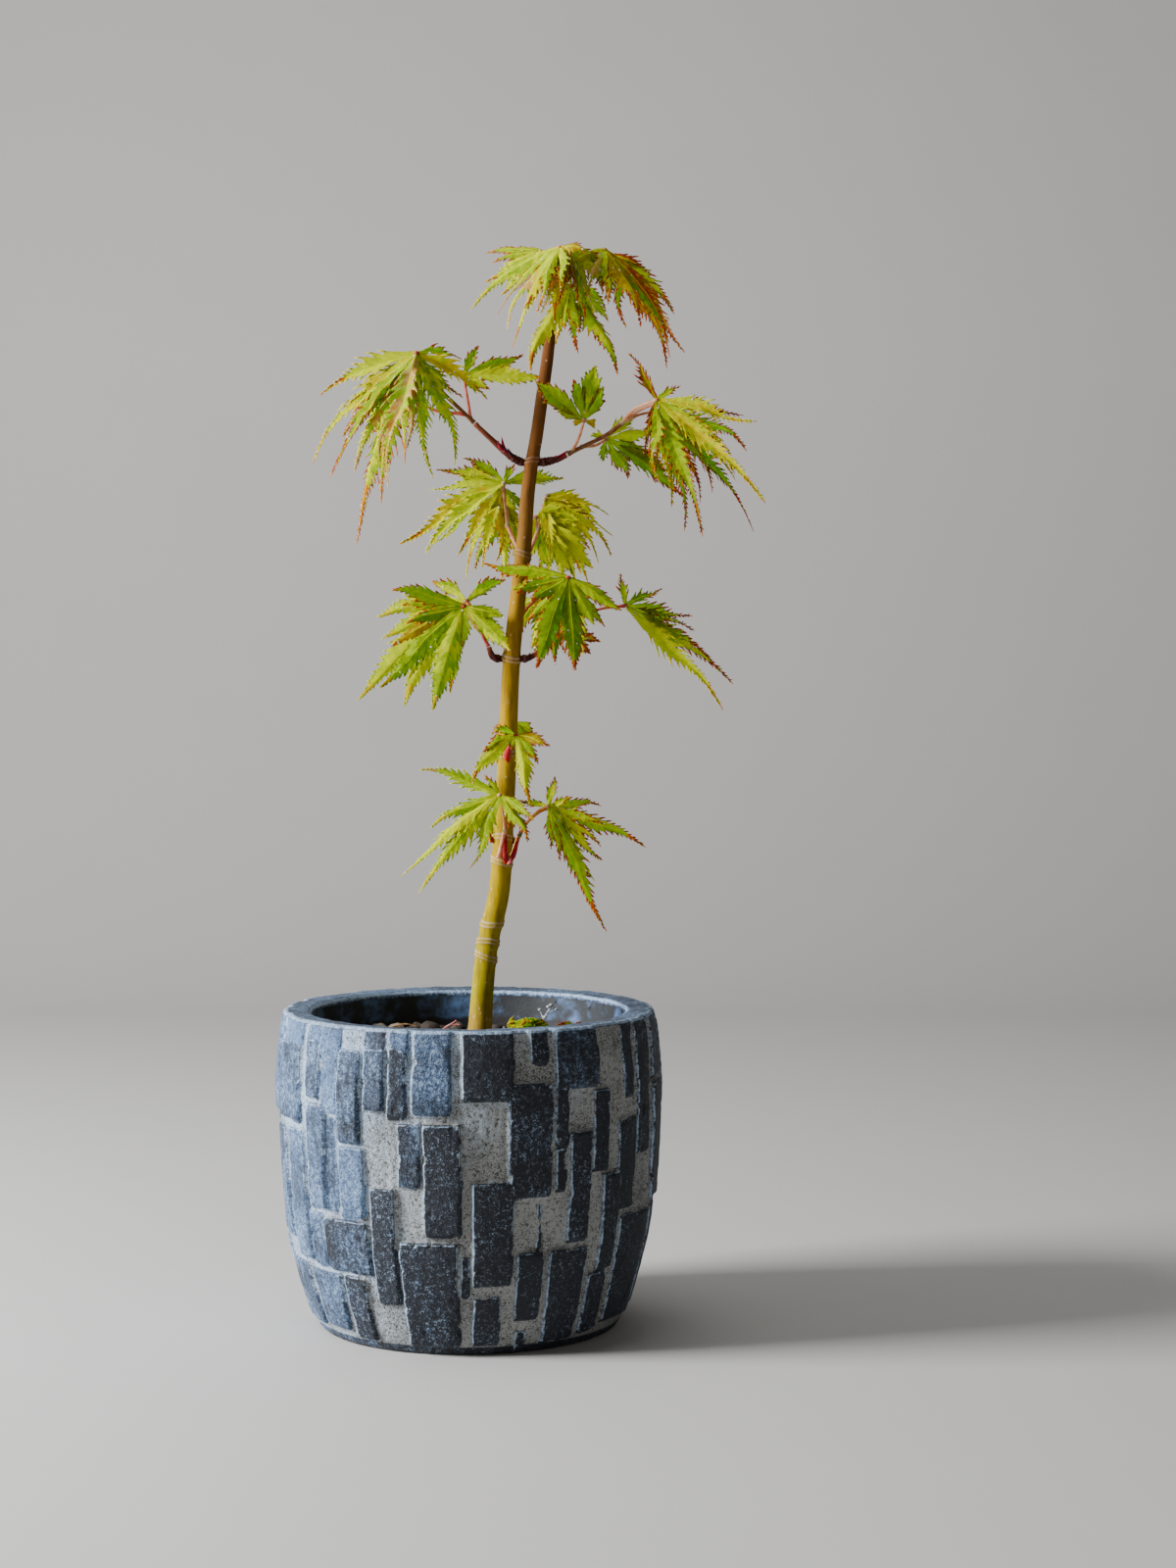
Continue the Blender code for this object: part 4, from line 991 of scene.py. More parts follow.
@dataclass
class Soil:
    """The soil in the pot, with its crumbs, chips, grit and stones."""

    top: float = 102.0
    edge_radius: float = 55.3
    bottom: float = 88.0
    drops: tuple = ((0, 0), (8, 0), (18, 0), (30, 0), (42, 0.4), (50, 1.8), (53.5, 4.2),
                    (55.4, 7.0))  # distance from the middle, how far the top has dropped there
    rings: int = 52
    segments: int = 240
    grains: int = 1500
    strewn_radius: float = 54.2
    bare: tuple = (3.6, 1.0, 6.5)  # x, y and radius of the place round the trunk without grains
    grain_shape: Point = (1.0, 0.85, 0.75)
    chip_shape: Point = (2.4, 0.7, 0.35)
    stones: tuple = (  # x, y, rise, size, kind
        (-35, 30, 3.0, 8.0, Grain.STONE), (-28.5, 31, 2.6, 7.0, Grain.GRIT),
        (-15.5, 28, 3.6, 9.0, Grain.CRUMB), (-21, 33, 2.6, 6.0, Grain.CRUMB),
        (-5, 34, 2.6, 6.5, Grain.CRUMB), (9, 31, 2.4, 5.5, Grain.CRUMB), (14, -20, 1.8, 6.0, Grain.STONE),
        (33, 27, 3.2, 6.5, Grain.CRUMB), (39, 24, 3.2, 5.0, Grain.CHIP), (-24, -22, 1.6, 7.5, Grain.CRUMB),
        (30, -8, 1.8, 6.0, Grain.GRIT), (-40, 4, 1.6, 6.5, Grain.CRUMB), (2, 40, 2.2, 6.0, Grain.STONE),
        (20, 38, 2.4, 6.5, Grain.CRUMB), (-12, -36, 1.6, 6.0, Grain.GRIT),
        (22, -30, 1.5, 7.0, Grain.CRUMB),
    )
    seed: int = 7
    uneven: Unevenness = field(default_factory=lambda: Unevenness(23))

    def surface(self, x: Array, y: Array) -> Array:
        """Height of the soil's top at places in plan.

        Args:
            x: How far right the places are.
            y: How far back they are.

        Returns:
            One height for each place.
        """
        place = np.stack([x, y, np.zeros_like(x)], -1)
        spread = np.hypot(x, y)
        rough = self.uneven.at(place, 11.0, 2) * 0.9 + self.uneven.at(place + 30, 2.6, 3) * 0.75
        return self.top + 0.1 - along(self.drops, spread) + rough * ease(spread, 3.0, 10.0)

    def bed(self) -> None:
        """Makes the body of the soil, closed all round."""
        turns = np.radians(np.linspace(0, 360, self.segments, endpoint=False))
        radii = np.linspace(self.edge_radius, 0.8, self.rings)[:, None]
        x, y = radii * np.sin(turns), -radii * np.cos(turns)
        top = np.stack([x, y, self.surface(x, y)], -1)
        skirt = np.stack([x[0], y[0], np.full(self.segments, self.bottom)], -1)
        points = np.vstack([skirt, top.reshape(-1, 3), (0, 0, self.bottom), (0, 0, self.top)])
        faces = closed_faces(self.rings + 1, self.segments)
        place_piece(one_shape("soil_bed", Earth("earth"), points, faces), "earth", "soil")

    def litter(self) -> None:
        """Strews grains of four kinds and sets some stones, sunk a little into the top."""
        draw = np.random.default_rng(self.seed)
        stock = Stock()
        grain, grain_faces = ball(3, 7)
        kinds = list(Grain)
        for _ in range(self.grains):
            spread = self.strewn_radius * math.sqrt(draw.random())
            heading = draw.random() * math.tau
            x, y = spread * math.sin(heading), -spread * math.cos(heading)
            if math.hypot(x - self.bare[0], y - self.bare[1]) < self.bare[2]:
                continue
            kind = kinds[draw.choice(len(kinds), p=[each.share for each in kinds])]
            size = [draw.uniform(each.least, each.greatest) for each in kinds][kind.index]
            shape = self.chip_shape if kind is Grain.CHIP else self.grain_shape
            lumps = 1 + 0.24 * draw.standard_normal(len(grain))
            rows = facing(draw.standard_normal(3) * (1, 1, 0.4) + (0, 0, 0.8))
            height = float(self.surface(np.array([x]), np.array([y]))[0])
            stock.add((grain * lumps[:, None] * shape * size) @ rows + (x, y, height + size * 0.25),
                      grain_faces, kind.index)
        lump, lump_faces = ball(9, 16)
        for x, y, rise, size, kind in self.stones:
            rough = 1 + 0.30 * self.uneven.at(lump * 1.3 + x, 1.0, 3)
            points = lump * rough[:, None] * np.array((1.0, 0.8, 0.75)) * size / 2
            stock.add(points + (x, y, self.top + rise - size * 0.3), lump_faces, kind.index)
        place_piece(stock.piece("soil_litter", Grain.finishes(), 50), "earth")

    def build(self) -> None:
        """Makes the soil's pieces."""
        self.bed()
        self.litter()


# Trunk and shoots

@dataclass
class Trunk:
    """The leaning trunk with its node rings and pores."""

    foot: float = 102.3
    line: tuple = ((102.3, 3.6, 1.0), (122, 5.0, 0.6), (139, 7.0, 0.2), (157, 11.0, -0.4), (176, 12.4, -0.6),
                   (207, 14.1, -0.3), (239, 15.5, 0.2), (264, 17.9, 0.6), (284, 20.3, 0.4), (304, 21.9, 0.0),
                   (325, 25.2, -0.3), (349, 28.6, 0.0), (363, 30.4, 0.6))  # height, x, y
    taper: tuple = ((102.3, 5.0), (108, 4.35), (130, 3.95), (157, 3.75), (221, 3.3), (260, 2.95), (322, 2.3),
                    (349, 2.2), (358, 1.9), (363, 1.2))  # height, radius
    nodes: tuple = (133.5, 138.6, 145.7, 168.4, 176.5, 207, 241.8, 279, 312.7)
    corky_height: float = 260.0  # above it the rings have only a trace of pale cork
    # upwards the colour turns from golden olive to dark red-brown: partly the bark's own colour, partly
    # painted shade under the leaves near the top
    stops: tuple = ((0.0, (0.36, 0.19, 0.06)), (0.04, (0.42, 0.28, 0.03)), (0.08, (0.40, 0.33, 0.002)),
                    (0.20, (0.40, 0.28, 0.002)), (0.45, (0.40, 0.24, 0.003)), (0.60, (0.38, 0.21, 0.010)),
                    (0.70, (0.21, 0.10, 0.018)), (0.80, (0.20, 0.078, 0.018)), (1.0, (0.15, 0.054, 0.018)))
    swell: float = 0.4  # how much thicker the trunk is at a node
    half_height: float = 1.4  # half the height of a node's swelling
    bark_reach: float = 1.5  # how far above and below its foot a shoot keeps clear of the bark
    sunk: float = 0.9  # how far the bark runs on into the soil
    sides: int = 44
    ring_step: float = 0.8
    ring_detail: float = 0.2  # spacing of the rings of points close to a node
    pores: int = 200
    uneven: Unevenness = field(default_factory=lambda: Unevenness(31))

    def centre(self, height: float) -> Array:
        """Centre of the trunk at a height."""
        return np.array((float(along(self.line, height, 1)), float(along(self.line, height, 2)), height))

    def radius(self, height: float) -> float:
        """Radius of the trunk at a height, with the swelling at each node."""
        near = min(abs(height - node) for node in self.nodes)
        return float(along(self.taper, height)) + self.swell * max(0.0, 1 - near / self.half_height)

    def beside(self, height: float, heading: float, towards: Point, radius: float) -> Array:
        """Where a stem that runs towards a point starts.

        Args:
            height: Height at which it leaves the trunk.
            heading: The side of the trunk that it leaves from.
            towards: The first point that it passes.
            radius: Its radius at the foot.

        Returns:
            The start of its centre line, with its foot just clear of the bark.
        """
        outwards = plan_direction(heading)
        bark = max(self.radius(height + step) for step in (-self.bark_reach, 0, self.bark_reach))
        clear = self.centre(height) + outwards * (bark + GAP)
        start = clear
        for _ in range(3):
            across = float(np.dot(unit(np.array(towards) - start), outwards))
            start = clear + outwards * radius * math.sqrt(max(0.0, 1 - across * across))
        return start

    def rings(self, turns: Array, heights: Array) -> tuple[Array, Array]:
        """The swellings of the nodes, each with a raised ring over it, a fine one under it and a groove.

        Args:
            turns: Angles of the bark's points round the trunk, in radians.
            heights: Their heights.

        Returns:
            How far each point stands out, and its ring mark.
        """
        proud, mark = np.zeros_like(heights), np.zeros_like(heights)
        for index, node in enumerate(self.nodes):
            off = heights - node - 0.9 * np.cos(turns - index * 1.9)
            proud = proud + self.swell * 1.1 * hump(off, 1.5) + 0.20 * hump(off - 0.9, 0.40)
            proud = proud + 0.16 * hump(off + 0.5, 0.35) - 0.14 * hump(off - 0.2, 0.30)
            line = hump(off - 0.9, 0.35) + 0.8 * hump(off + 0.5, 0.30)
            cork = 1.0 if node < self.corky_height else 0.35
            mark = np.maximum(mark, cork * line * (0.78 + 0.22 * np.sin(3 * turns + 2.3 * index)))
        return proud, mark

    def pore_mark(self, turns: Array, heights: Array, radii: Array) -> Array:
        """The pores of the bark, close together at the foot and few higher up.

        Args:
            turns: Angles of the bark's points round the trunk, in radians.
            heights: Their heights.
            radii: Their distances from its middle.

        Returns:
            The pore mark of each point.
        """
        draw = np.random.default_rng(3)
        mark = np.zeros_like(radii)
        for _ in range(self.pores):
            height = self.foot + (self.line[-1][0] - self.foot) * draw.random() ** 5
            turn = draw.random() * math.tau
            wide, tall = draw.uniform(0.22, 0.42), draw.uniform(0.28, 0.6)
            near = np.abs(heights - height) < 2.5
            off = ((turns[near] - turn + math.pi) % math.tau - math.pi) * radii[near]
            dot = np.exp(-(off / wide) ** 2 - ((heights[near] - height) / tall) ** 2)
            mark[near] = np.maximum(mark[near], dot)
        return mark

    def build(self) -> None:
        """Makes the trunk."""
        close = [np.arange(node - 2.6, node + 3.2, self.ring_detail) for node in self.nodes]
        heights = np.concatenate([np.arange(self.foot - self.sunk, self.line[-1][0], self.ring_step), *close])
        heights = np.unique(np.round(heights / self.ring_detail)) * self.ring_detail
        path = np.array([self.centre(height) for height in heights])
        turns, levels = np.meshgrid(math.tau * np.arange(self.sides) / self.sides, heights)
        proud, ring = self.rings(turns, levels)
        radii = along(self.taper, levels) + proud
        pore = self.pore_mark(turns, levels, radii)
        place = np.stack([radii * np.cos(turns), radii * np.sin(turns), levels * 0.12], -1)
        ribs = self.uneven.at(place, 1.3, 2) * 0.09 + self.uneven.at(place + 9, 4.0, 2) * 0.12
        radii = radii + ribs + 0.10 * pore
        radii[-1] *= 0.55
        points, faces = tube(path, radii, self.sides)
        marks = {"ring": np.r_[ring.ravel(), 0, 0], "pore": np.r_[pore.ravel(), 0, 0]}
        bark = Bark("young_bark", self.stops)
        place_piece(one_shape("trunk_bark", bark, points, faces, **marks), "young_bark", "trunk")


@dataclass
class Shoot:
    """A woody shoot: the node it stands for, where it leaves the trunk, its end radii and its points.

    Places along it are shares of its length.
    """

    name: str
    height: float
    heading: float
    radii: tuple[float, float]
    points: tuple[Point, ...]
    stops: tuple = ((0.0, (0.045, 0.012, 0.010)), (0.35, (0.12, 0.028, 0.018)), (1.0, (0.30, 0.08, 0.035)))
    joints: tuple = (0.10, 0.30, 0.47, 0.97)  # places of its rings
    scales: tuple = ((0.13, 0.30), (0.19, 0.42), (0.26, 0.34), (0.35, 0.22))  # place and height
    ring: Colour = (0.42, 0.20, 0.14)
    sides: int = 20

    def build(self, trunk: Trunk) -> None:
        """Makes the shoot, with ringed joints and the swellings of the bud scales at its foot.

        Args:
            trunk: The trunk that it leaves.
        """
        foot, tip = self.radii
        start = trunk.beside(self.height, self.heading, self.points[0], foot)
        into = trunk.centre(self.height)
        path = smooth_curve([start, *self.points], 60)
        lead = np.linspace(into + (start - into) * 0.55, path[0], 6)[:-1]
        path = np.vstack([lead, path])
        share = np.linspace(0, 1, len(path))
        radii = foot + (tip - foot) * share
        ring = np.zeros(len(path))
        for place in self.joints:
            bulge = hump(share - place, 0.018)
            radii = radii + 0.22 * bulge
            ring = np.maximum(ring, bulge)
        for place, height in self.scales:
            radii = radii + height * hump(share - place, 0.022)
        turns = math.tau * np.arange(self.sides) / self.sides
        radii = radii[:, None] * (1 + 0.05 * np.sin(3 * turns + 9 * share[:, None]))
        points, faces = tube(path, radii, self.sides)
        marks = {"ring": np.r_[np.repeat(ring, self.sides), 0, 0] * 0.3, "pore": np.zeros(len(points))}
        low, high = float(path[:, 2].min()), float(path[:, 2].max())
        bark = Bark(self.name + "_bark", self.stops, low, max(high, low + 3), self.ring)
        place_piece(one_shape(self.name + "_wood", bark, points, faces, **marks), "dark_bark", self.name)


SHOOTS = (
    Shoot("upper_left_shoot", 312.3, -92, (1.35, 0.85),
          ((14.7, -1, 315.1), (8, -1.5, 321), (2.6, -2, 326.2))),
    Shoot("upper_right_shoot", 312.3, 86, (1.4, 1.0), ((32.7, 1, 313.8), (35.6, 1, 315.2))),
    Shoot("mid_left_shoot", 241.6, -105, (1.2, 0.9), ((8.6, -2, 242.8), (7.6, -3, 245.6))),
    Shoot("mid_right_shoot", 241.6, 75, (1.2, 0.9), ((22.5, -2.2, 242.2), (25.5, -3, 244))),
)


class BudSkin(Choice):
    """The skins of the buds, the scales and the threads at the nodes."""

    CRIMSON = Skin("bud_crimson", (0.50, 0.018, 0.028), (0.30, 0.010, 0.020), 0.35, 0.2)
    DARK = Skin("bud_dark", (0.035, 0.010, 0.010), (0.08, 0.018, 0.016), 0.4, 0.1)
    PINK = Skin("thread_pink", (0.60, 0.16, 0.15), (0.50, 0.10, 0.10), 0.4, 0.1)
    WINE = Skin("bud_wine", (0.16, 0.014, 0.030), (0.28, 0.020, 0.040), 0.5, 0.0)


@dataclass
class Bud:
    """A bud, a bud scale or a thread: a pointed body along a bent line."""

    points: tuple[Point, ...]
    girth: float
    skin: BudSkin

    def add(self, stock: Stock) -> None:
        """Adds the bud to a mesh.

        Args:
            stock: The mesh.
        """
        share = np.linspace(0, 1, 18)
        radii = self.girth * np.sin(math.pi * np.clip(share, 0.06, 0.985) ** 0.75) ** 0.8
        points, faces = tube(smooth_curve(self.points, len(share)), radii, 10)
        stock.add(points, faces, self.skin.index)


@dataclass
class Buds:
    """The buds, scales and threads at the trunk's nodes."""

    buds: tuple[Bud, ...] = (
        Bud(((15.8, -1.2, 314.6), (13.2, -2.3, 317.0), (12.2, -2.6, 321.6)), 0.75, BudSkin.WINE),
        Bud(((14.6, -1.6, 315.6), (11.6, -2.8, 318.0), (10.8, -2.4, 320.4)), 0.65, BudSkin.WINE),
        Bud(((18.0, -1.6, 313.6), (15.6, -2.4, 315.0), (14.4, -2.8, 317.4)), 0.8, BudSkin.DARK),
        Bud(((30.6, -0.2, 313.4), (33.4, -1.2, 314.4), (36.0, -1.0, 316.6)), 0.8, BudSkin.WINE),
        Bud(((28.4, -1.4, 312.8), (31.2, -1.9, 313.2), (34.0, -1.8, 314.8)), 0.8, BudSkin.DARK),
        Bud(((14.4, -3.6, 204.6), (14.2, -5.4, 207.6), (15.9, -7.2, 212.0)), 1.25, BudSkin.CRIMSON),
        Bud(((9.6, -1.8, 175.4), (7.7, -2.6, 176.8), (8.0, -3.0, 180.0)), 1.1, BudSkin.CRIMSON),
        Bud(((15.8, -1.6, 175.0), (17.4, -2.2, 176.2), (18.2, -2.1, 178.4)), 1.0, BudSkin.DARK),
        Bud(((13.6, -4.4, 167.9), (13.3, -5.9, 172.0), (13.4, -6.9, 184.0)), 1.05, BudSkin.CRIMSON),
        Bud(((14.6, -4.0, 168.2), (16.6, -4.9, 171.4), (18.7, -4.8, 180.0)), 0.95, BudSkin.CRIMSON),
        Bud(((14.2, -4.6, 167.6), (15.2, -5.4, 168.6), (15.4, -5.6, 170.8)), 0.7, BudSkin.PINK),
        Bud(((11.2, -2.6, 240.6), (9.4, -2.8, 242.6), (8.8, -3.2, 244.8)), 0.75, BudSkin.DARK),
        Bud(((20.0, -2.4, 240.8), (21.6, -3.2, 242.0), (22.6, -3.6, 244.0)), 0.75, BudSkin.DARK),
        Bud(((11.6, -3.2, 246.4), (14.2, -4.3, 244.6), (17.6, -4.0, 244.3)), 0.16, BudSkin.PINK),
    )

    def build(self) -> None:
        """Makes all the buds as one piece."""
        stock = Stock()
        for bud in self.buds:
            bud.add(stock)
        place_piece(stock.piece("buds", BudSkin.finishes()), "dark_bark")


# Foliage

@dataclass
class Leaf:
    """One leaf: its base point and its lobes in order round it.

    Each lobe is the direction and the length of the line from the base to its tip, seen from the front,
    with the direction as a clock angle: 0 up, 90 right. lean says how far the first, the middle and
    the last lobe point towards the viewer, in degrees. bow is how far a lobe arches above that line,
    stalk holds the points that the leaf stalk passes before the base, tints has a letter for the
    colours of each lobe, tail is 1 where the lobes end in long threads and 0 where they are broad, and
    width is a factor on how wide they are.
    """

    name: str
    base: Point
    lobes: tuple[tuple[float, float], ...]
    lean: tuple[float, float, float]
    bow: float
    stalk: tuple[Point, ...]
    tints: str
    tail: float = 0.6
    width: float = 1.0

    def spans(self) -> Array:
        """The line from the base to the tip of each lobe.

        Returns:
            A row of x, y and z for each lobe.
        """
        made = []
        for i, (clock, length) in enumerate(self.lobes):
            share = i / (len(self.lobes) - 1)
            first, middle, last = self.lean
            lean = (first + (middle - first) * share * 2 if share < 0.5
                    else middle + (last - middle) * (share * 2 - 1))
            turn = math.radians(clock)
            made.append(np.array((math.sin(turn), -math.tan(math.radians(lean)), math.cos(turn))) * length)
        return np.array(made)

    def rib(self, span: Array, share: Array) -> Array:
        """Points of a lobe's rib.

        Args:
            span: The line from the base to the lobe's tip.
            share: Where the points are, as shares of its length.

        Returns:
            Rows of x, y and z.
        """
        ahead = unit(span)
        share = share[:, None]
        lift = np.linalg.norm(span) * self.bow * share * (1 - share)
        return np.array(self.base) + span * share + unit(UP - ahead * ahead[2]) * lift


@dataclass
class Rib:
    """A lobe's rib, in rows from the leaf's base to the lobe's tip.

    share is a row's place along it, from 0 to 1, and distance the same in millimetres. ahead, across and
    upward are the directions along the lobe, over it and out of its face.
    """

    share: Array
    distance: Array
    centre: Array
    ahead: Array
    across: Array
    upward: Array


@dataclass
class Side:
    """One side of a lobe's blade, in the rows of its rib.

    lines run along the lobe, from the margin inwards. edge is the blade's half width, joined says how
    joined it is to its neighbour, place is the place within each lobelet, from 0 to 1, and outward is
    the direction out of the blade.
    """

    lines: list[Array]
    edge: Array
    joined: Array
    place: Array
    outward: Array


@dataclass
class Lobe:
    """A lobe that is being grown, with its colours, its rib, its leaf's random numbers and its mesh."""

    leaf: Leaf
    spans: Array
    index: int
    rib: Rib
    draw: random.Random
    stock: Stock

    @property
    def colours(self) -> LobeLook:
        """The lobe's tints."""
        return LobeLook[self.leaf.tints[self.index]]


@dataclass
class LeafGrower:
    """Grows the blades of leaves: ribs, folds, webs between lobes, and doubly toothed margins."""

    half_width: float = 0.098  # widest half width, as a share of the lobe's length
    broad: tuple = ((0, 0.24), (0.08, 0.28), (0.18, 0.46), (0.30, 0.80), (0.42, 1.0), (0.55, 1.0),
                    (0.67, 0.82), (0.77, 0.55), (0.87, 0.29), (0.95, 0.12), (1.0, 0.03))
    tailed: tuple = ((0, 0.24), (0.08, 0.28), (0.17, 0.54), (0.27, 0.92), (0.36, 1.05), (0.46, 0.86),
                     (0.56, 0.52), (0.66, 0.27), (0.79, 0.14), (0.91, 0.085), (1.0, 0.03))
    row: float = 0.66  # spacing along a lobe
    rows: tuple[int, int] = (14, 100)  # fewest and most rows of a lobe
    web: float = 0.15  # how far from the base lobes stay joined, as a share of their length
    folds: tuple = (0.16, 0.55)  # how far a blade's sides rise from its rib, least and most
    columns: tuple = (1.0, 0.89, 0.45)  # places across each side of the blade, from the margin inwards
    rib: float = 0.22  # half width of the rib's strip
    slant: float = 0.78  # how far side veins run forwards
    cut: float = 0.62  # depth of the cuts between lobelets
    tooth: float = 0.85  # length of a small tooth
    spur: float = 0.62  # length of a lobelet's point, as a share of the blade's half width
    thickness: float = 0.16
    crease: float = 70.0  # folds of a blade sharper than this angle stay sharp
    patches: Unevenness = field(default_factory=lambda: Unevenness(47))

    def lay_rib(self, leaf: Leaf, spans: Array, index: int, draw: random.Random) -> Rib:
        """Lays a lobe's rib, with its arch, its twist and the bends of its tail.

        Args:
            leaf: The leaf.
            spans: The lines to the tips of all its lobes.
            index: The lobe's place in the leaf.
            draw: The leaf's own random numbers.

        Returns:
            The rib.
        """
        span = spans[index]
        length = float(np.linalg.norm(span))
        fewest, most = self.rows
        t = np.linspace(0, 1, int(min(max(length / self.row, fewest), most)))
        ahead = span / length
        before, after = unit(spans[max(index - 1, 0)]), unit(spans[min(index + 1, len(spans) - 1)])
        face = unit(np.cross(after - before, ahead))
        arch = unit(UP - ahead * ahead[2])
        slope = (leaf.bow * (1 - 2 * t))[:, None]
        pitch, axis = np.arctan(slope), np.cross(ahead, arch)
        heading = unit(ahead + arch * slope)
        upward = (face * np.cos(pitch) + np.cross(axis, face) * np.sin(pitch)
                  + axis * np.dot(axis, face) * (1 - np.cos(pitch)))
        across = unit(np.cross(heading, upward))
        twist = (math.radians(draw.uniform(-16, 16)) + math.radians(draw.uniform(-50, 50)) * t)[:, None]
        across, upward = (across * np.cos(twist) + upward * np.sin(twist),
                          upward * np.cos(twist) - across * np.sin(twist))
        tail = np.clip((t - 0.45) / 0.55, 0, 1)
        wave = np.sin(math.pi * tail) * (0.4 + 0.6 * leaf.tail) * length
        centre = leaf.rib(span, t) + across * (draw.uniform(-0.06, 0.06) * wave)[:, None]
        centre = centre + upward * (draw.uniform(-0.05, 0.05) * wave)[:, None]
        return Rib(t, t * length, centre, heading, across, upward)

    def margin(self, half: Array, rib: Rib, phase: float, cut: float) -> tuple[Array, Array]:
        """One margin cut into lobelets.

        Args:
            half: Half width of the blade along the lobe.
            rib: The lobe's rib.
            phase: Where the first cut falls.
            cut: Depth of the cuts.

        Returns:
            The half width with the cuts, and the place within each lobelet, from 0 to 1.
        """
        step = np.clip(0.70 * half + 1.4, 1.7, 5.2)
        place = np.mod(np.cumsum(np.gradient(rib.distance) / step) + phase, 1.0)
        depth = cut * ease(rib.share, 0.14, 0.30) * (1 - ease(rib.share, 0.90, 1.0))
        return half * (1.06 - depth * (1 - place) ** 1.1), place

    def grow_lobe(self, lobe: Lobe) -> None:
        """Adds one lobe's blade: two folded, rippled sides with their skin, teeth and spurs.

        Args:
            lobe: The lobe.
        """
        leaf, rib, draw = lobe.leaf, lobe.rib, lobe.draw
        length = float(rib.distance[-1])
        profile = along(self.broad, rib.share) * (1 - leaf.tail) + along(self.tailed, rib.share) * leaf.tail
        half = self.half_width * leaf.width * math.sqrt(length * 25) * profile * draw.uniform(0.9, 1.1)
        fold = draw.uniform(*self.folds) * ease(rib.share, 0.0, 0.25) + 0.12
        ruffle = draw.uniform(0, math.tau)
        sides = []
        for turn in (-1, 1):
            joined, gap, middle = self.web_to(lobe, lobe.index + turn)
            edge, place = self.margin(half, rib, draw.random(), self.cut * (0.5 + 0.5 * leaf.tail))
            edge = np.minimum(edge, gap)
            ripple = 0.13 * edge * np.sin(rib.distance / 1.9 + ruffle + turn)
            lines = []
            for share in self.columns:
                quilt = 0.16 * np.sin(math.tau * place) * np.minimum(edge / 2, 1) * (4 * share * (1 - share))
                rise = fold * edge * share + ripple * share ** 2 + quilt
                offset = (rib.across * (turn * edge * share)[:, None] + rib.upward * rise[:, None]
                          + rib.ahead * (self.slant * edge * share)[:, None])
                lines.append(rib.centre + offset * (1 - joined[:, None]) + middle * share * joined[:, None])
            beside = np.minimum(self.rib * (1.1 - 0.8 * rib.share), edge * 0.3)
            lines.append(rib.centre + rib.across * (turn * beside)[:, None]
                         + rib.upward * (fold * beside)[:, None])
            sides.append(Side(lines, edge, joined, place, rib.across * turn))
        self.skin(lobe, *sides)
        for side in sides:
            self.teeth(lobe, side)
            self.spurs(lobe, side)

    def web_to(self, lobe: Lobe, other: int) -> tuple[Array, ...]:
        """Where a lobe is joined to the next one on a side.

        Args:
            lobe: The lobe.
            other: The next lobe's place in the leaf, which may be off the end.

        Returns:
            How joined the two are along the rib, the room that the blade has, and half the way across.
        """
        spans, distance, centre = lobe.spans, lobe.rib.distance, lobe.rib.centre
        if not 0 <= other < len(spans):
            return np.zeros_like(distance), np.full_like(distance, 1e3), np.zeros_like(centre)
        length, other_length = (float(np.linalg.norm(spans[k])) for k in (lobe.index, other))
        reach = self.web * min((length + other_length) / 2, 2.1 * min(length, other_length))
        joined = 1 - ease(distance, reach * 0.8, reach * 1.3)
        middle = (lobe.leaf.rib(spans[other], np.clip(distance / other_length, 0, 0.6)) - centre) / 2
        gap = np.linalg.norm(middle, axis=1) * 0.96 + np.maximum(0, distance - reach) * 0.30
        return joined, gap, middle

    def skin(self, lobe: Lobe, left: Side, right: Side) -> None:
        """Adds the strips of a blade between its lengthwise lines, each face with its tint.

        Args:
            lobe: The lobe.
            left: One side of its blade.
            right: The other side.
        """
        colours, share = lobe.colours, lobe.rib.share
        grid = np.stack([*left.lines, *right.lines[::-1]], 1)
        rows, wide = grid.shape[:2]
        middles = (grid[:-1, :-1] + grid[1:, 1:]) / 2
        patch, fleck = self.patches.at(middles, 5.0, 2), self.patches.at(middles + 50, 1.6)
        across = np.arange(wide - 1)
        strip = np.minimum(across, wide - 2 - across)[None, :] + 0 * patch
        far = share[:-1, None] + 0 * patch
        web = np.where(across < wide / 2 - 0.5, left.joined[:-1, None], right.joined[:-1, None])
        rib_strip = len(self.columns)
        marginal = (strip == 0) & (web < 0.5) & (fleck > 0.32 - 0.9 * far)
        tint = np.where(patch + 0.25 * (strip - 1.5) > 0.0, colours.inner.index, colours.outer.index)
        tint = np.where(marginal, colours.margin.index, tint)
        tint = np.where((strip == rib_strip) & (far < 0.7), Tint.RIB.index, tint)
        tip_from = lobe.draw.uniform(0.86, 0.95) - 0.16 * lobe.leaf.tail
        tint = np.where(far + 0.10 * patch > tip_from, colours.tip.index, tint)
        lobe.stock.add(grid.reshape(-1, 3), grid_faces(rows, wide, False), [int(v) for v in tint.ravel()])

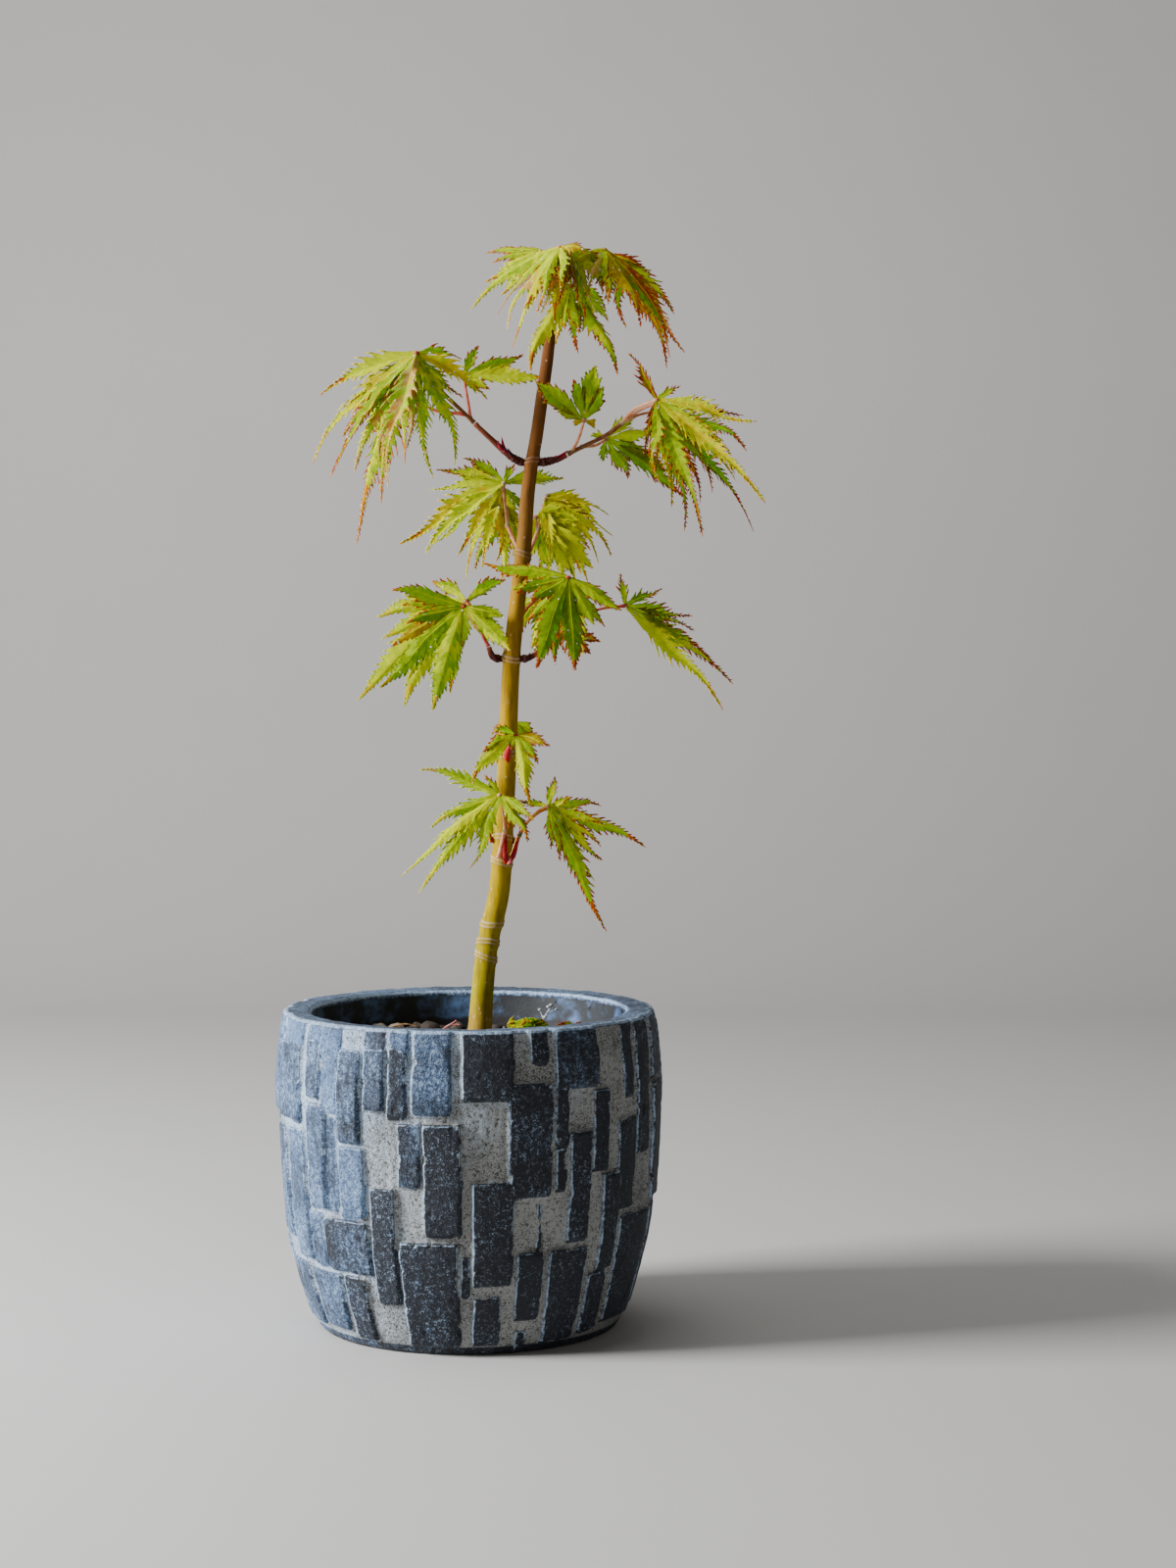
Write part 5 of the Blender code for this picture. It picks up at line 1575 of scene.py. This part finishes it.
    def teeth(self, lobe: Lobe, side: Side) -> None:
        """Adds the small forward teeth along one margin, fewer of them on a thread.

        Args:
            lobe: The lobe.
            side: The side of the blade that they stand on.
        """
        t, tail, draw, line = lobe.rib.share, lobe.leaf.tail, lobe.draw, side.lines[0]
        points, faces, finishes = [], [], []
        for r in range(1, len(t) - 1):
            if side.joined[r] > 0.3 or t[r] > 0.975 or draw.random() < 0.12 + 0.8 * tail * t[r]:
                continue
            size = self.tooth * (0.50 + 0.50 * min(1.0, side.edge[r] / 2.4)) * draw.uniform(0.45, 1.5)
            low, high = line[r], line[r + 1]
            tip = (low + high) / 2 + side.outward[r] * size * 0.62 + lobe.rib.ahead[r] * size * 0.95
            faces.append((len(points), len(points) + 1, len(points) + 2))
            points += [low, high, tip]
            tint = lobe.colours.margin if draw.random() < 0.50 + 0.5 * t[r] else lobe.colours.outer
            finishes.append(tint.index)
        if points:
            lobe.stock.add(np.array(points), faces, finishes)

    def spurs(self, lobe: Lobe, side: Side) -> None:
        """Adds the long narrow point that each lobelet ends in, longest on a threadlike lobe.

        Args:
            lobe: The lobe.
            side: The side of the blade that they stand on.
        """
        t, draw, place, colours = lobe.rib.share, lobe.draw, side.place, lobe.colours
        longer = 0.20 + 0.80 * lobe.leaf.tail
        for r in range(2, len(t) - 2):
            if place[r + 1] > place[r] or side.joined[r] > 0.2 or not 0.2 < t[r] < 0.96:
                continue
            half = float(side.edge[r])
            reach = min(0.9 + self.spur * half, 3.4) * draw.uniform(0.6, 1.25) * longer
            bend = draw.uniform(0.25, 0.65)
            root, out, on = side.lines[0][r], side.outward[r], lobe.rib.ahead[r]
            wide = min(0.36, 0.2 + 0.1 * half)
            half_way = root + on * reach * 0.5 + out * reach * bend * 0.62
            points = [root - on * 0.9 - out * 0.2, root + on * 0.2 - out * 0.35,
                      half_way - (out - on * 0.4) * wide, half_way + (out - on * 0.4) * wide * 0.5,
                      root + on * reach + out * reach * bend]
            plain = draw.random() < 0.5 - 0.4 * t[r]
            foot = colours.outer if plain else colours.margin
            lobe.stock.add(np.array(points), [(0, 1, 2, 3), (3, 2, 4)], [foot.index, colours.margin.index])

    def grow(self, leaves: Iterable[Leaf]) -> Stock:
        """Grows all the lobes of leaves into one mesh.

        Args:
            leaves: The leaves.

        Returns:
            The mesh's points and faces.
        """
        stock = Stock()
        for leaf in leaves:
            draw = random.Random(leaf.name)
            spans = leaf.spans()
            for index in range(len(spans)):
                rib = self.lay_rib(leaf, spans, index, draw)
                self.grow_lobe(Lobe(leaf, spans, index, rib, draw, stock))
        return stock

    def place(self, blades: Stock, name: str, age: LightCopy, *nodes: str) -> None:
        """Makes a piece of blades and gives them their thickness.

        Args:
            blades: The blades' points and faces.
            name: The piece's name.
            age: Which lit or shaded copy of the tints the leaves take, as painted light.
            *nodes: The solids that it stands for.
        """
        made = blades.piece(name, age.skins(), self.crease)
        thick = made.modifiers.new("Thickness", "SOLIDIFY")
        thick.thickness = self.thickness * MM
        thick.offset = 0.0
        place_piece(made, "foliage", *nodes)


class StemSkin(Choice):
    """The skins of the thin stems on the soil."""

    TWIG = Skin("twig_pink", (0.50, 0.22, 0.20), (0.40, 0.14, 0.12))
    SPRIG = Skin("sprig_pale", (0.50, 0.52, 0.50), (0.30, 0.33, 0.34))
    STRAW = Skin("straw", (0.30, 0.20, 0.09), (0.18, 0.10, 0.05))


@dataclass
class Stem:
    """A thin stem on the soil: the points that it passes, its radius at the foot and its skin."""

    points: tuple[Point, ...]
    radius: float
    skin: StemSkin


@dataclass
class Fallen:
    """What lies or stands on the soil: a curled leaf, a small rosette, a forked twig and a pale sprig."""

    leaves: tuple[Leaf, ...] = (
        Leaf("fallen_leaf", (13.4, 22, 105.8),
             ((70, 3), (96, 8), (114, 6), (130, 3)), (10, 20, 10), 0.3, (), "LgLG", 0.1, 1.6),
        Leaf("fallen_blade", (17.5, 23, 104.8),
             ((290, 4), (62, 5)), (10, 20, 10), 0.4, (), "OG", 0.1, 1.6),
        Leaf("rosette_low", (23.6, 20, 104.4),
             ((282, 5), (318, 4.5), (2, 3.5), (44, 4.5), (80, 5)), (25, 35, 25), 0.25, (), "dGdGd", 0.0, 2.6),
        Leaf("rosette_high", (23.2, 20, 105.6),
             ((300, 4), (352, 3.4), (55, 4)), (10, 40, 10), 0.2, (), "GgG", 0.0, 2.8),
        Leaf("red_scrap", (36.5, 24, 104.4),
             ((285, 4.5), (345, 2.6), (75, 5)), (15, 25, 15), 0.2, (), "RGR", 0.1, 1.8),
    )
    stems: tuple[Stem, ...] = (
        Stem(((-11, 24, 103.5), (-8, 23, 105.6), (-4, 22, 105.8)), 0.42, StemSkin.TWIG),
        Stem(((-8, 23, 105.6), (-5.5, 22, 107.4)), 0.34, StemSkin.TWIG),
        Stem(((25.0, 21, 103.4), (26.8, 20.5, 108.0), (29.4, 20, 112.6)), 0.30, StemSkin.SPRIG),
        Stem(((26.8, 20.5, 108.0), (25.6, 20.4, 111.0)), 0.24, StemSkin.SPRIG),
        Stem(((28.0, 20.3, 110.2), (31.2, 20, 111.6)), 0.24, StemSkin.SPRIG),
        Stem(((-31, 29, 103.6), (-25, 27, 105.4), (-20, 26, 104.4)), 0.35, StemSkin.STRAW),
        Stem(((30, 18, 103.4), (37, 20, 104.8)), 0.4, StemSkin.STRAW),
    )
    heads: tuple[Point, ...] = ((29.6, 20, 113.4), (28.6, 19.8, 112.8), (30.4, 20.2, 112.5),
                                (25.5, 20.4, 111.6), (31.6, 20, 111.8), (27.4, 20.0, 109.0))
    head_size: Point = (0.75, 0.75, 0.55)
    rows: int = 14

    def build(self, grower: LeafGrower) -> None:
        """Makes the leaves as one piece and the stems with their seed heads as another.

        Args:
            grower: What grows the leaves' blades.
        """
        grower.place(grower.grow(self.leaves), "fallen_leaves", LightCopy.GROWN)
        stock = Stock()
        taper = 1 - 0.4 * np.linspace(0, 1, self.rows)
        for stem in self.stems:
            stock.add(*tube(smooth_curve(stem.points, self.rows), stem.radius * taper, 8), stem.skin.index)
        head, head_faces = ball(4, 8)
        for place in self.heads:
            stock.add(head * self.head_size + np.array(place), head_faces, StemSkin.SPRIG.index)
        place_piece(stock.piece("fallen_stems", StemSkin.finishes()), "foliage")


@dataclass
class Dew:
    """Small beads of water on the leaves, gathered leaf by leaf, coloured near white as painted glints."""

    share: float = 0.022  # most beads for each point of a blade
    fewest: int = 30  # shapes with fewer points than this stay dry
    least: float = 0.14  # radius of the smallest bead
    spread: float = 0.26  # how much larger the largest is
    lift: Point = (0, -0.1, 0.08)
    stock: Stock = field(default_factory=Stock)

    def wet(self, blades: Stock, seed: str) -> None:
        """Sets beads here and there on a mass of blades.

        Args:
            blades: The blades' points and faces.
            seed: Where the random numbers start.
        """
        draw = random.Random(seed)
        bead, faces = ball(3, 6)
        for points in blades.points:
            if len(points) < self.fewest:
                continue
            for _ in range(int(len(points) * self.share * draw.random())):
                size = self.least + self.spread * draw.random() ** 2
                self.stock.add(bead * size + points[draw.randrange(len(points))] + self.lift, faces)

    def build(self) -> None:
        """Makes all the beads as one piece."""
        # near white beads: painted glints of light on the water
        water = Skin("dew", (0.94, 0.97, 0.82), (0.80, 0.88, 0.62), 0.08, 1.0, 0.8)
        place_piece(self.stock.piece("dew", [water]), "foliage")


class StalkSkin(Enum):
    """The skins of leaf stalks and of the stems that carry them."""

    RED = Skin("stalk_red", (0.52, 0.12, 0.08), (0.40, 0.06, 0.045))
    PINK = Skin("stalk_pink", (0.66, 0.36, 0.19), (0.56, 0.22, 0.12))
    TAN = Skin("stalk_tan", (0.56, 0.34, 0.08), (0.52, 0.20, 0.07))
    BROWN = Skin("stem_brown", (0.26, 0.12, 0.055), (0.19, 0.075, 0.035))


@dataclass
class Mass:
    """Leaves that grow from one stem, which stand for one solid.

    stem holds the points that the stem passes. foot is the height and the heading at which it leaves the
    trunk, or None where it starts at its first point.
    """

    name: str
    stem: tuple[Point, ...]
    radius: float
    leaves: tuple[Leaf, ...]
    stalk_skin: StalkSkin
    stem_skin: StalkSkin | None = None
    age: LightCopy = LightCopy.GROWN
    foot: tuple[float, float] | None = None
    stalk_radius: float = 0.62
    knob_size: Point = (0.95, 0.95, 0.75)  # of the swelling where a stalk meets its leaf

    def build(self, trunk: Trunk, grower: LeafGrower, dew: Dew) -> None:
        """Makes the leaves as one piece and their stalks as another, and wets the leaves.

        Args:
            trunk: The trunk that the stem may leave.
            grower: What grows the leaves' blades.
            dew: The beads of water, which gain those of this mass.
        """
        blades = grower.grow(self.leaves)
        grower.place(blades, self.name + "_leaves", self.age, self.name)
        dew.wet(blades, self.name)
        points = list(self.stem)
        if self.foot:
            points.insert(0, trunk.beside(*self.foot, points[0], self.radius))
        stem = smooth_curve(points, 10 * len(points))
        stock = Stock()
        share = np.linspace(0, 1, len(stem))
        radii = self.radius * (1 + 0.35 * hump(share, 0.08) + 0.15 * hump(share - 1, 0.08))
        stock.add(*tube(stem, radii, 12))
        knob, knob_faces = ball(5, 10)
        share = np.linspace(0, 1, 34)
        flare = 0.55 * hump(share, 0.07) + 0.60 * hump(share - 1, 0.05)
        radii = self.stalk_radius * (1 - 0.25 * share + flare)
        for leaf in self.leaves:
            path = smooth_curve([*leaf.stalk, leaf.base], len(share))
            stock.add(*tube(path, radii, 10), 1)
            stock.add(knob * self.knob_size + np.array(leaf.base), knob_faces, 1)
        skins = [(self.stem_skin or self.stalk_skin).value, self.stalk_skin.value]
        place_piece(stock.piece(self.name + "_stalks", skins), "foliage")


# Each lobe's tint letter is partly the leaf's own colour and partly painted light and shade.
TOP_LEAVES = (
    Leaf("top_left", (33.2, -10, 388),
         ((238, 38), (224, 32), (212, 35), (204, 41), (198, 26), (177, 20), (114, 10)), (-25, 20, 55), 0.32,
         ((32, -1, 373), (31, -6.5, 382)), "gGPYGgO", 0.85, 1.1),
    Leaf("top_back", (26.2, 12, 389.5), ((285, 12), (272, 21), (259, 18), (242, 23), (222, 22), (195, 14)),
         (-45, -10, 15), 0.2, ((31.5, 0, 371), (28, 8, 383)), "lGGLLg", 0.7, 1.2),
    Leaf("top_right", (49.3, -4, 388),
         ((238, 14), (200, 16), (178, 21), (158, 33), (150, 46), (145, 40), (130, 25)), (35, 40, -25), 0.32,
         ((32, -1, 373), (40, -2, 385)), "LPlODRR", 0.8, 1.35),
    Leaf("top_front", (36.9, -6, 374.5),
         ((228, 10), (204, 34), (187, 16), (170, 18), (153, 37), (134, 19), (112, 9)), (15, 35, 15), 0.2,
         ((31, 0.2, 368), (34, -3, 373)), "LLGGlSg", 0.5, 1.2),
    Leaf("top_middle", (38.5, -7, 388.5),
         ((240, 16), (216, 25), (194, 29), (172, 27), (150, 20), (126, 12)), (5, 32, 10), 0.3,
         ((32, -1, 373), (35, -5, 382)), "LlYGlG", 0.7, 1.2),
    Leaf("top_fringe", (36.5, -9, 386.5), ((216, 27), (203, 27), (190, 22), (172, 20), (157, 26)),
         (25, 45, 25), 0.25, ((32, -1, 373), (34.5, -6, 381)), "RPORP", 0.9, 0.8),
    Leaf("top_right_back", (50.5, 3, 387.3),
         ((112, 17), (128, 31), (138, 43), (150, 44), (165, 26), (184, 16)), (-30, -40, -20), 0.3,
         ((32, -1, 373), (41, 2, 385)), "RlOOGP", 0.8),
    Leaf("top_rear", (38, 20, 378), ((225, 14), (200, 21), (176, 22), (152, 22), (122, 14)),
         (-40, -50, -40), 0.4, ((31, 0.2, 369), (34, 11, 377)), "lLGlG", 0.6),
)

UPPER_LEFT_LEAVES = (
    Leaf("upper_left_outer", (-17.7, -12, 350.5),
         ((97, 16), (123, 30), (161, 43), (189, 50), (213, 54), (223, 54), (248, 38)), (-20, 35, -15), 0.2,
         ((-9, -7, 337), (-14, -10, 345)), "GYgPGYL", 0.9, 1.25),
    Leaf("upper_left_under", (-26.5, 2, 342),
         ((247, 20), (228, 28), (209, 33), (196, 60), (188, 44), (174, 30), (158, 17)), (-45, -30, -5),
         0.15, ((-1, -3.2, 329.5), (-12, -2, 331), (-22, 0, 337)), "LGVlGlG", 0.9, 1.25),
    Leaf("upper_left_middle", (-19.5, -9, 349),
         ((233, 28), (216, 40), (204, 46), (193, 41), (181, 34), (169, 45), (152, 27), (128, 23)),
         (10, 42, 10), 0.18, ((-9, -7, 337), (-15, -8.5, 344.5)), "YGPSPgYG", 0.9, 0.9),
    Leaf("upper_left_inner", (-2.1, 14, 344.5),
         ((292, 7), (28, 12), (71, 23), (91, 31), (118, 11), (146, 8)), (25, 5, 30), 0.1,
         ((1, -2.5, 328), (0, 4, 334)), "DDGLlg", 0.3, 1.2),
)

UPPER_RIGHT_LEAVES = (
    Leaf("upper_right_outer", (67.7, -12, 333.8),
         ((328, 19), (60, 10), (104, 36), (129, 33), (136, 53), (163, 52), (179, 30)), (10, 30, 35), 0.1,
         ((55.3, -2, 326.2), (60, -6, 331)), "RGYGYGG", 0.9, 0.9),
    Leaf("upper_right_back", (69, 10, 331.7),
         ((85, 14), (110, 36), (126, 36), (139, 56), (154, 36), (167, 44), (182, 26)), (-50, -35, -15),
         0.15, ((54.5, -1.8, 325.8), (61, 4, 329.5)), "GGRDRGD", 0.9, 0.95),
    Leaf("upper_right_middle", (66.9, -5, 332.9),
         ((96, 33), (117, 28), (133, 40), (147, 38), (158, 30), (171, 38), (192, 19)), (-15, 10, 25), 0.12,
         ((55.1, -2, 326.1), (61.5, -3.5, 330.6)), "RYLGYYR", 0.9, 0.8),
    Leaf("upper_right_inner", (41.9, -6, 327),
         ((262, 4), (286, 10), (308, 22), (345, 15), (12, 20), (30, 14), (108, 4)), (25, 5, -25), 0.0,
         ((37.5, 1, 316.3), (40, -2, 321)), "yYGGgGy", 0.1, 1.7),
    Leaf("upper_right_under", (49.8, 14, 321.6),
         ((287, 6), (51, 14), (81, 19), (116, 25), (124, 35), (149, 16), (188, 8)), (-15, -35, -25), 0.15,
         ((41, 0.7, 318), (46, 8, 319)), "gVVGGGd", 0.5, 1.4),
)

CENTRE_LEFT_LEAVES = (
    Leaf("centre_left_upper", (12.5, 16, 305.8),
         ((226, 38), (239, 44), (265, 27), (282, 26), (302, 18), (28, 8), (84, 22)), (30, -20, -30), 0.15,
         ((14, 10, 289.6), (13, 13, 299)), "VYVlGGg", 0.7, 1.25),
    Leaf("centre_left_middle", (12, 19, 304.4),
         ((214, 30), (232, 33), (252, 24), (274, 20), (196, 26), (170, 20), (140, 14)), (-10, -25, 10), 0.2,
         ((14, 10, 289.6), (13, 15.5, 298)), "YgVVyVg", 0.8, 0.95),
    Leaf("centre_left_lower", (11.5, 24, 300.8),
         ((150, 12), (167, 20), (184, 24), (194, 27), (203, 33), (213, 22), (223, 18)), (15, 35, -20), 0.25,
         ((14, 10, 289.6), (13.5, 19, 296.5)), "yYyYLYy", 0.8, 1.1),
)

CENTRE_RIGHT_LEAVES = (
    Leaf("centre_right_upper", (28.5, 20, 301.5),
         ((108, 17), (121, 28), (143, 31), (157, 31), (166, 27), (184, 20)), (-35, -10, 15), 0.35,
         ((25, 10, 287.6), (27, 17, 297)), "YLYLYL", 0.7, 1.25),
    Leaf("centre_right_middle", (27.6, 16, 300),
         ((104, 24), (118, 20), (131, 32), (150, 26), (160, 34), (176, 24)), (-15, 10, 20), 0.3,
         ((25, 10, 287.6), (26.5, 14, 295)), "yOYVVY", 0.85, 0.9),
    Leaf("centre_right_lower", (24.3, 12, 293.2),
         ((68, 10), (94, 16), (116, 20), (132, 28), (147, 26), (166, 20), (186, 14)), (-5, 12, 10), 0.1,
         ((25, 10, 287.6), (24.5, 11.5, 290.5)), "VgVVVgV", 0.2, 1.7),
)

REAR_CENTRE_LEAVES = (
    Leaf("rear_centre_left", (13, 34, 293), ((240, 15), (215, 22), (188, 24), (164, 21), (130, 12)),
         (-45, -45, -35), 0.4, ((21, 21.5, 288.6), (18, 29, 292.5)), "lGLGl", 0.6),
    Leaf("rear_centre_right", (31, 36, 290), ((228, 12), (198, 20), (172, 24), (148, 23), (120, 15)),
         (-35, -45, -45), 0.4, ((21, 21.5, 288.6), (26, 30, 290.5)), "GlYLG", 0.6),
)

MID_RIGHT_LEAVES = (
    Leaf("mid_front", (36.3, -16, 270.7),
         ((280, 31), (253, 19), (236, 16), (199, 34), (176, 33), (152, 19), (122, 22)), (-8, 30, 15), 0.1,
         ((27.4, -3.9, 246), (31, -9, 254), (35, -14, 264)), "GDDDDSG", 0.2, 1.35),
    Leaf("mid_front_under", (35.8, -12, 269.4),
         ((262, 20), (226, 20), (208, 27), (188, 30), (168, 27), (140, 21), (118, 13)), (-10, 10, 0), 0.1,
         ((27.4, -3.9, 246), (31, -7, 254), (34.4, -10.5, 263)), "gGgDgGD", 0.2, 1.1),
    Leaf("mid_right_outer", (56.7, -2, 260.8),
         ((353, 12), (64, 15), (98, 25), (110, 27), (122, 37), (126, 48), (137, 51)), (-35, -20, 15), 0.05,
         ((27.4, -3.9, 246), (36, -4, 252.5), (46, -3, 259)), "GDGGGlL", 0.9, 0.85),
    Leaf("mid_right_small", (35.8, 4, 248.8), ((30, 6), (65, 8), (95, 12), (122, 10), (155, 8)),
         (-40, -20, 10), 0.2, ((27.2, -3.8, 245.8), (31.5, 0, 248.3)), "RORRO", 0.3, 1.3),
)

MID_LEFT_LEAVES = (
    Leaf("mid_left_front", (-1.4, -6, 260.4),
         ((283, 26), (253, 21), (225, 41), (195, 38), (180, 15), (133, 23), (105, 15)), (10, 35, 25), 0.12,
         ((4.6, -4, 251.7), (1, -5, 257)), "GDdgSgd", 0.2, 1.3),
    Leaf("mid_left_middle", (-1.8, -2, 261),
         ((270, 22), (240, 30), (216, 34), (198, 24), (188, 32), (120, 17)), (-5, 10, 15), 0.12,
         ((4.6, -4, 251.7), (0.5, -3, 257.5)), "GOgVSG", 0.25, 1.1),
    Leaf("mid_left_back", (-0.8, 5, 262.5),
         ((299, 15), (260, 34), (247, 35), (229, 56), (212, 46), (160, 12), (60, 16)), (-25, -35, -30),
         0.15, ((4.6, -4, 251.7), (2, 1, 258)), "lVVVVVl", 0.35, 1.3),
)

REAR_MID_LEAVES = (
    Leaf("rear_mid", (25, 26, 264), ((236, 14), (208, 22), (180, 25), (154, 23), (122, 14)),
         (-40, -45, -40), 0.3, ((17, 13.6, 251.6), (20, 20, 259)), "GlDGl", 0.5),
)

LOW_FRONT_LEAVES = (
    Leaf("low_front", (17.3, -12, 214.4),
         ((291, 8), (243, 13), (222, 22), (196, 5), (166, 25), (140, 13), (106, 13)), (30, 40, 30), 0.25,
         ((16.4, -7.7, 210.8), (17, -10, 213.4)), "GlLlLGR", 0.5, 1.2),
)

LOW_LEFT_LEAVES = (
    Leaf("low_left", (11.5, -9, 192.7),
         ((322, 9), (288, 30), (245, 27), (231, 44), (220, 43), (202, 27), (147, 19), (123, 15)),
         (-10, 30, 35), 0.15, ((13.4, -6.8, 179.6), (12.8, -7.6, 187)), "GSgVgSGG", 0.7, 1.12),
)

LOW_RIGHT_LEAVES = (
    Leaf("low_right", (28.8, -4, 188.4),
         ((276, 10), (14, 11), (91, 19), (114, 39), (135, 28), (155, 50), (168, 20)), (-35, -20, 10), 0.06,
         ((18.3, -4.4, 177.6), (20.8, -4.4, 182), (25, -4.2, 186.5)), "GGGGlGG", 0.6, 0.95),
    Leaf("low_right_under", (29.3, -2, 187.6),
         ((62, 9), (106, 21), (126, 23), (148, 31), (157, 41), (178, 15)), (15, 5, -10), 0.08,
         ((18.3, -4.4, 177.6), (21.2, -4, 182.4), (25.6, -3, 186.2)), "GGlgGG", 0.6, 0.95),
)

REAR_LOW_LEAVES = (
    Leaf("rear_low", (16, 19, 218), ((240, 10), (212, 15), (183, 17), (154, 15), (122, 9)), (-35, -45, -35),
         0.4, ((15, 11.7, 213.6), (15.5, 15, 216.6)), "GlLGl", 0.5, 1.05),
)

# Each mass takes a lit or shaded copy of the leaf tints: painted light, darker in strong light and paler in
# shade.
MASSES = (
    Mass("foliage_top", ((30.4, 0.6, 363.5), (31, 0.2, 368), (32, -1, 374)), 0.9, TOP_LEAVES,
         StalkSkin.TAN),
    Mass("foliage_upper_left", ((2.3, -2, 326.5), (-3, -4, 331.5), (-9, -7, 337)), 0.75, UPPER_LEFT_LEAVES,
         StalkSkin.RED, StalkSkin.BROWN, LightCopy.YOUNG),
    Mass("foliage_upper_right", ((35.9, 1, 315.4), (43, 0.5, 318.8), (50.4, 0, 322.5), (55.3, -2, 326.2)),
         0.8, UPPER_RIGHT_LEAVES, StalkSkin.PINK, StalkSkin.BROWN, LightCopy.YOUNG),
    Mass("foliage_centre_left", ((14, 10, 290),), 0.7, CENTRE_LEFT_LEAVES, StalkSkin.PINK, age=LightCopy.YOUNG,
         foot=(281, -150)),
    Mass("foliage_centre_right", ((25, 10, 288),), 0.7, CENTRE_RIGHT_LEAVES, StalkSkin.PINK, age=LightCopy.PALE,
         foot=(281, 140)),
    Mass("foliage_rear_centre", ((20, 12, 282), (21, 22, 289)), 0.7, REAR_CENTRE_LEAVES, StalkSkin.PINK,
         foot=(277, 180)),
    Mass("foliage_mid_right", ((25.8, -3.2, 244.4), (27.6, -4, 246.2)), 0.7, MID_RIGHT_LEAVES,
         StalkSkin.RED),
    Mass("foliage_mid_left", ((7.4, -3, 246.1), (4.5, -4, 252)), 0.7, MID_LEFT_LEAVES, StalkSkin.RED,
         age=LightCopy.YOUNG),
    Mass("foliage_rear_mid", ((17, 14, 252),), 0.7, REAR_MID_LEAVES, StalkSkin.RED, foot=(242, 180)),
    Mass("foliage_low_front", ((16.5, -8, 211),), 0.6, LOW_FRONT_LEAVES, StalkSkin.RED, foot=(207.5, 5)),
    Mass("foliage_low_left", ((13.4, -6.8, 180),), 0.8, LOW_LEFT_LEAVES, StalkSkin.PINK, foot=(170, -12)),
    Mass("foliage_low_right", ((18.4, -4.4, 178),), 0.8, LOW_RIGHT_LEAVES, StalkSkin.TAN, age=LightCopy.PALE,
         foot=(170.5, 50)),
    Mass("foliage_rear_low", ((15, 12, 214),), 0.6, REAR_LOW_LEAVES, StalkSkin.RED, foot=(207.5, 178)),
)


# Studio

@dataclass(frozen=True)
class PaleFloor(Finish):
    """The plain pale floor and wall."""

    colour: Colour = (0.60, 0.585, 0.56)

    def paint(self, bench: Bench) -> None:
        """Nearly even, with a faint mottle."""
        darker = tuple(part * 0.97 for part in self.colour)
        bench.set(Base_Color=bench.mix(bench.noise(60, 2), self.colour, darker), Roughness=0.85)


@dataclass
class Studio:
    """The floor, the lights and the camera."""

    camera_place: Point = (43.3, -1072.0, 247.8)
    camera_drop: float = 2.75  # how far it looks down, in degrees
    lens: float = 3022 / 1600 * 36
    sensor: float = 36.0
    floor_front: float = -3000.0
    floor_back: float = 900.0
    wall_bend: float = 500.0  # radius of the curve between the floor and the wall
    wall_top: float = 2600.0
    half_width: float = 3500.0

    def floor(self) -> None:
        """A floor that curves up into a wall far behind."""
        bend = self.wall_bend
        profile = [(self.floor_front, 0), (self.floor_back, 0)]
        profile += [(self.floor_back + bend * math.sin(turn), bend * (1 - math.cos(turn)))
                    for turn in np.linspace(0.1, math.pi / 2, 12)]
        profile.append((self.floor_back + bend, self.wall_top))
        points = [(x, y, z) for y, z in profile for x in (-self.half_width, self.half_width)]
        faces = [(2 * i, 2 * i + 1, 2 * i + 3, 2 * i + 2) for i in range(len(profile) - 1)]
        one_shape("floor", PaleFloor("pale_floor"), np.array(points, float), faces)

    def light(self, name: str, place: Point, target: Point, size: float, power: float,
              colour: Colour) -> None:
        """Adds a soft square light.

        Args:
            name: Its name.
            place: Where it stands.
            target: The point that it faces.
            size: The length of its side.
            power: Its power, in watts.
            colour: The colour of its light.
        """
        lamp = bpy.data.lights.new(name, "AREA")
        lamp.shape, lamp.size, lamp.energy, lamp.color = "SQUARE", size * MM, power, colour
        made = bpy.data.objects.new(name, lamp)
        made.location = Vector(place) * MM
        made.rotation_euler = (Vector(target) - Vector(place)).to_track_quat("-Z", "Y").to_euler()
        bpy.context.scene.collection.objects.link(made)

    def camera(self) -> None:
        """The camera at the photograph's angle."""
        data = bpy.data.cameras.new("camera")
        data.sensor_fit, data.sensor_height, data.lens = "VERTICAL", self.sensor, self.lens
        made = bpy.data.objects.new("camera", data)
        made.location = Vector(self.camera_place) * MM
        made.rotation_euler = (math.radians(90 - self.camera_drop), 0, 0)
        bpy.context.scene.collection.objects.link(made)
        bpy.context.scene.camera = made

    def build(self) -> None:
        """Makes the studio."""
        self.floor()
        world = bpy.data.worlds.new("studio")
        world.use_nodes = True
        sky = world.node_tree.nodes["Background"].inputs
        sky["Color"].default_value = (0.86, 0.90, 1.0, 1.0)
        sky["Strength"].default_value = 0.04
        bpy.context.scene.world = world
        self.light("key", (-1150, -260, 560), (10, 0, 190), 420, 46, (0.96, 0.97, 1.0))
        self.light("fill", (500, -1200, 500), (10, 0, 190), 900, 1.8, (1.0, 0.95, 0.88))
        self.light("top", (-150, 100, 1300), (10, 0, 150), 700, 5, (1.0, 1.0, 1.0))
        self.camera()


def main() -> None:
    """Builds the plant, its pot and the studio."""
    logging.basicConfig(level=logging.INFO, format="%(name)s: %(message)s")
    Studio().build()
    Pot().build()
    Soil().build()
    trunk = Trunk()
    trunk.build()
    for shoot in SHOOTS:
        shoot.build(trunk)
    Buds().build()
    grower, dew = LeafGrower(), Dew()
    for mass in MASSES:
        mass.build(trunk, grower, dew)
    dew.build()
    Fallen().build(grower)


if __name__ == "__main__":
    main()
